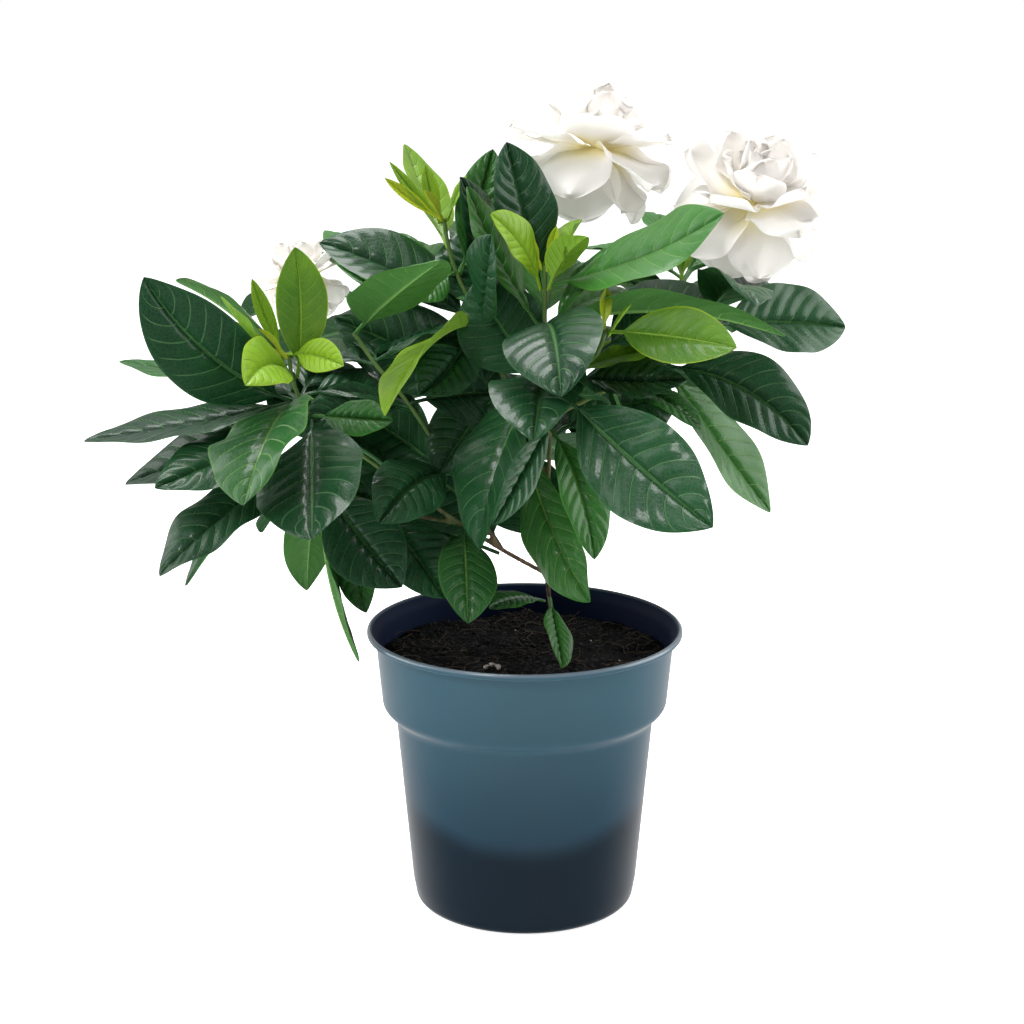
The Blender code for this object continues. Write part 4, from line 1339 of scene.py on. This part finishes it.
def plain_skin(name, first, second, roughness):
    """A mottled finish from two colours."""
    material, tree, shader = new_material(name)
    cloud = noise(tree, object_place(tree), 500.0, 4.0, 0.6)
    set_shader(tree, shader, Base_Color=colour_mix(tree, cloud, first, second),
               Roughness=roughness + 0.1 * cloud)
    bump(tree, shader, cloud, 0.0003)
    return material


MIX_SKIN = mix_material()
CRUMB_SKIN = plain_skin("crumb_skin", (0.001, 0.001, 0.002), (0.012, 0.008, 0.008), 0.9)
GRIT_SKIN = plain_skin("grit_skin", (0.30, 0.26, 0.24), (0.62, 0.56, 0.52), 0.7)
ROOT_SKIN = plain_skin("root_skin", (0.030, 0.018, 0.013), (0.170, 0.105, 0.070), 0.8)

profile = [(0.0, MIX_LEVEL)]
profile += [(MIX_RADIUS * ring / MIX_RINGS, MIX_LEVEL) for ring in range(1, MIX_RINGS + 1)]
profile += [(0.0567, 0.0905), (0.0560, 0.0870), (0.0512, 0.0838), (0.0446, 0.010), (0.0396, 0.0030)]
profile += [(0.0, 0.0028)]
shape = turned(profile, 120)
for vertex in shape.verts:
    if vertex.co.z > MIX_LEVEL - 0.001:
        level = smooth_noise.noise(vertex.co * 90.0) + 0.5 * smooth_noise.noise(vertex.co * 260.0)
        rim_share = min(1.0, (MIX_RADIUS - vertex.co.xy.length) / 0.006)
        vertex.co.z += MIX_ROUGHNESS * level + 0.0012 * rim_share
mix_mesh = bpy.data.meshes.new("mix_body")
shape.to_mesh(mix_mesh)
shape.free()
mix_mesh.shade_smooth()
mix_mesh.materials.append(MIX_SKIN)
add_piece("mix_body", mix_mesh, ["potting_mix"])
print("mix:", len(mix_mesh.polygons), "faces")

# %% Scatter tree
def scatter_tree():
    """Put small turned and scaled copies of a shape on a surface."""
    tree, given = tree_with_inputs("scatter", {
        "Density": 100000.0, "Smallest": 0.5, "Largest": 1.5, "Stretch": 1.0, "Flatness": 1.0}, [
        ("Seed", "NodeSocketInt"), ("Shape", "NodeSocketObject"), ("Skin", "NodeSocketMaterial")])
    points = add_node(tree, "GeometryNodeDistributePointsOnFaces", inputs={
        "Mesh": given["Geometry"], "Density": given["Density"], "Seed": given["Seed"]})
    shape_info = add_node(tree, "GeometryNodeObjectInfo", inputs={"Object": given["Shape"]})
    turn = add_node(tree, "FunctionNodeRandomValue", {"data_type": "FLOAT_VECTOR"}, {
        0: (-0.5, -0.5, 0.0), 1: (0.5, 0.5, 6.283)})
    connect(tree, given["Seed"], turn.inputs["Seed"])
    size = add_node(tree, "FunctionNodeRandomValue", {"data_type": "FLOAT"})
    low, high = [slot for slot in size.inputs if slot.enabled and slot.name in ("Min", "Max")]
    connect(tree, given["Smallest"], low)
    connect(tree, given["Largest"], high)
    connect(tree, given["Seed"], size.inputs["Seed"])
    amount = Wire(tree, [slot for slot in size.outputs if slot.enabled][0])
    scale = add_node(tree, "ShaderNodeCombineXYZ", inputs={
        "X": amount * given["Stretch"], "Y": amount, "Z": amount * given["Flatness"]})
    copies = add_node(tree, "GeometryNodeInstanceOnPoints", inputs={
        "Points": Wire(tree, points.outputs["Points"]),
        "Instance": Wire(tree, shape_info.outputs["Geometry"]),
        "Rotation": Wire(tree, [slot for slot in turn.outputs if slot.enabled][0]),
        "Scale": Wire(tree, scale.outputs[0])})
    skin = step(tree, "GeometryNodeRealizeInstances", Wire(tree, copies.outputs[0]))
    skin = step(tree, "GeometryNodeSetMaterial", skin, {"Material": given["Skin"]})
    leave = tree.nodes.new("NodeGroupOutput")
    tree.links.new(skin.socket, leave.inputs[0])
    return tree


SCATTER = scatter_tree()


def surface_patch(inner, outer):
    """A helper object with the mix's top faces between two radii."""
    shape = bmesh.new()
    shape.from_mesh(mix_mesh)
    away = [face for face in shape.faces
            if face.normal.z < 0.3 or not inner < face.calc_center_median().xy.length < outer]
    bmesh.ops.delete(shape, geom=away, context="FACES")
    mesh = bpy.data.meshes.new("patch")
    shape.to_mesh(mesh)
    shape.free()
    patch = bpy.data.objects.new("patch", mesh)
    scene.collection.objects.link(patch)
    return patch


def crumb_shape():
    """A lumpy grain a millimetre across."""
    bpy.ops.mesh.primitive_ico_sphere_add(subdivisions=1, radius=0.0006)
    crumb = bpy.context.active_object
    draw = random.Random(4)
    for vertex in crumb.data.vertices:
        vertex.co *= draw.uniform(0.7, 1.3)
    crumb.data.shade_smooth()
    return crumb


def rootlet_shape():
    """A thin bent fibre a centimetre long."""
    data = bpy.data.curves.new("rootlet", "CURVE")
    data.dimensions = "3D"
    data.bevel_depth = 0.00009
    data.bevel_resolution = 0
    data.use_fill_caps = True
    data.resolution_u = 3
    spline = data.splines.new("BEZIER")
    places = [
        (-0.006, 0.0, 0.0002), (-0.002, 0.0016, 0.0010),
        (0.002, -0.0012, 0.0006), (0.006, 0.0010, 0.0003)]
    spline.bezier_points.add(len(places) - 1)
    for knot, place in zip(spline.bezier_points, places):
        knot.co = place
        knot.handle_left_type = "AUTO"
        knot.handle_right_type = "AUTO"
    curve = bpy.data.objects.new("rootlet", data)
    scene.collection.objects.link(curve)
    graph = bpy.context.evaluated_depsgraph_get()
    mesh = bpy.data.meshes.new_from_object(curve.evaluated_get(graph))
    bpy.data.objects.remove(curve, do_unlink=True)
    shape = bmesh.new()
    shape.from_mesh(mesh)
    bmesh.ops.remove_doubles(shape, verts=shape.verts, dist=0.00001)
    shape.to_mesh(mesh)
    shape.free()
    rootlet = bpy.data.objects.new("rootlet", mesh)
    scene.collection.objects.link(rootlet)
    return rootlet


SCATTERS = [
    # name, shape, density, smallest, largest, stretch, flatness, seed, skin, slot
    ("mix_crumbs", crumb_shape, 210000.0, 0.5, 1.9, 1.3, 0.8, 1, CRUMB_SKIN, "potting_mix"),
    ("mix_rootlets", rootlet_shape, 13000.0, 0.3, 1.2, 1.0, 1.6, 2, ROOT_SKIN, "potting_mix"),
    ("mix_grit", crumb_shape, 1000.0, 0.8, 1.8, 1.2, 0.9, 6, GRIT_SKIN, "potting_mix"),
]
for name, maker, density, smallest, largest, stretch, flatness, seed, skin, slot in SCATTERS:
    grain = maker()
    mesh = grown(SCATTER, {
        "Density": density, "Smallest": smallest, "Largest": largest, "Stretch": stretch,
        "Flatness": flatness, "Seed": seed, "Shape": grain, "Skin": skin}, surface_patch(0.0, 0.0565))
    bpy.data.objects.remove(grain, do_unlink=True)
    add_piece(name, mesh)
    print(name, len(mesh.polygons), "faces")

# %% [markdown]
# Watering has washed one little heap of grit together near the front of the pot.

# %% Grit heap
GRIT_HEAP = Vector((-0.0128, -0.0235, 0.1070))
HEAP_GRAINS = 11


def grit_heap():
    """A few grains piled round one point."""
    draw = random.Random(9)
    grains = []
    for _ in range(HEAP_GRAINS):
        grain = crumb_shape()
        size = draw.uniform(1.2, 2.2)
        for vertex in grain.data.vertices:
            vertex.co *= size
        mesh = grain.data
        bpy.data.objects.remove(grain, do_unlink=True)
        away = Vector((draw.gauss(0.0, 1.0), draw.gauss(0.0, 1.0), 0.0)) * 0.0019
        lift = max(0.0, 0.0022 - 0.6 * away.length)
        for vertex in mesh.vertices:
            vertex.co += GRIT_HEAP + away + Vector((0.0, 0.0, lift))
        mesh.materials.append(GRIT_SKIN)
        grains.append(mesh)
    return joined(grains, "mix_grit_heap")


add_piece("mix_grit_heap", grit_heap())
print(HEAP_GRAINS, "grains in the heap")
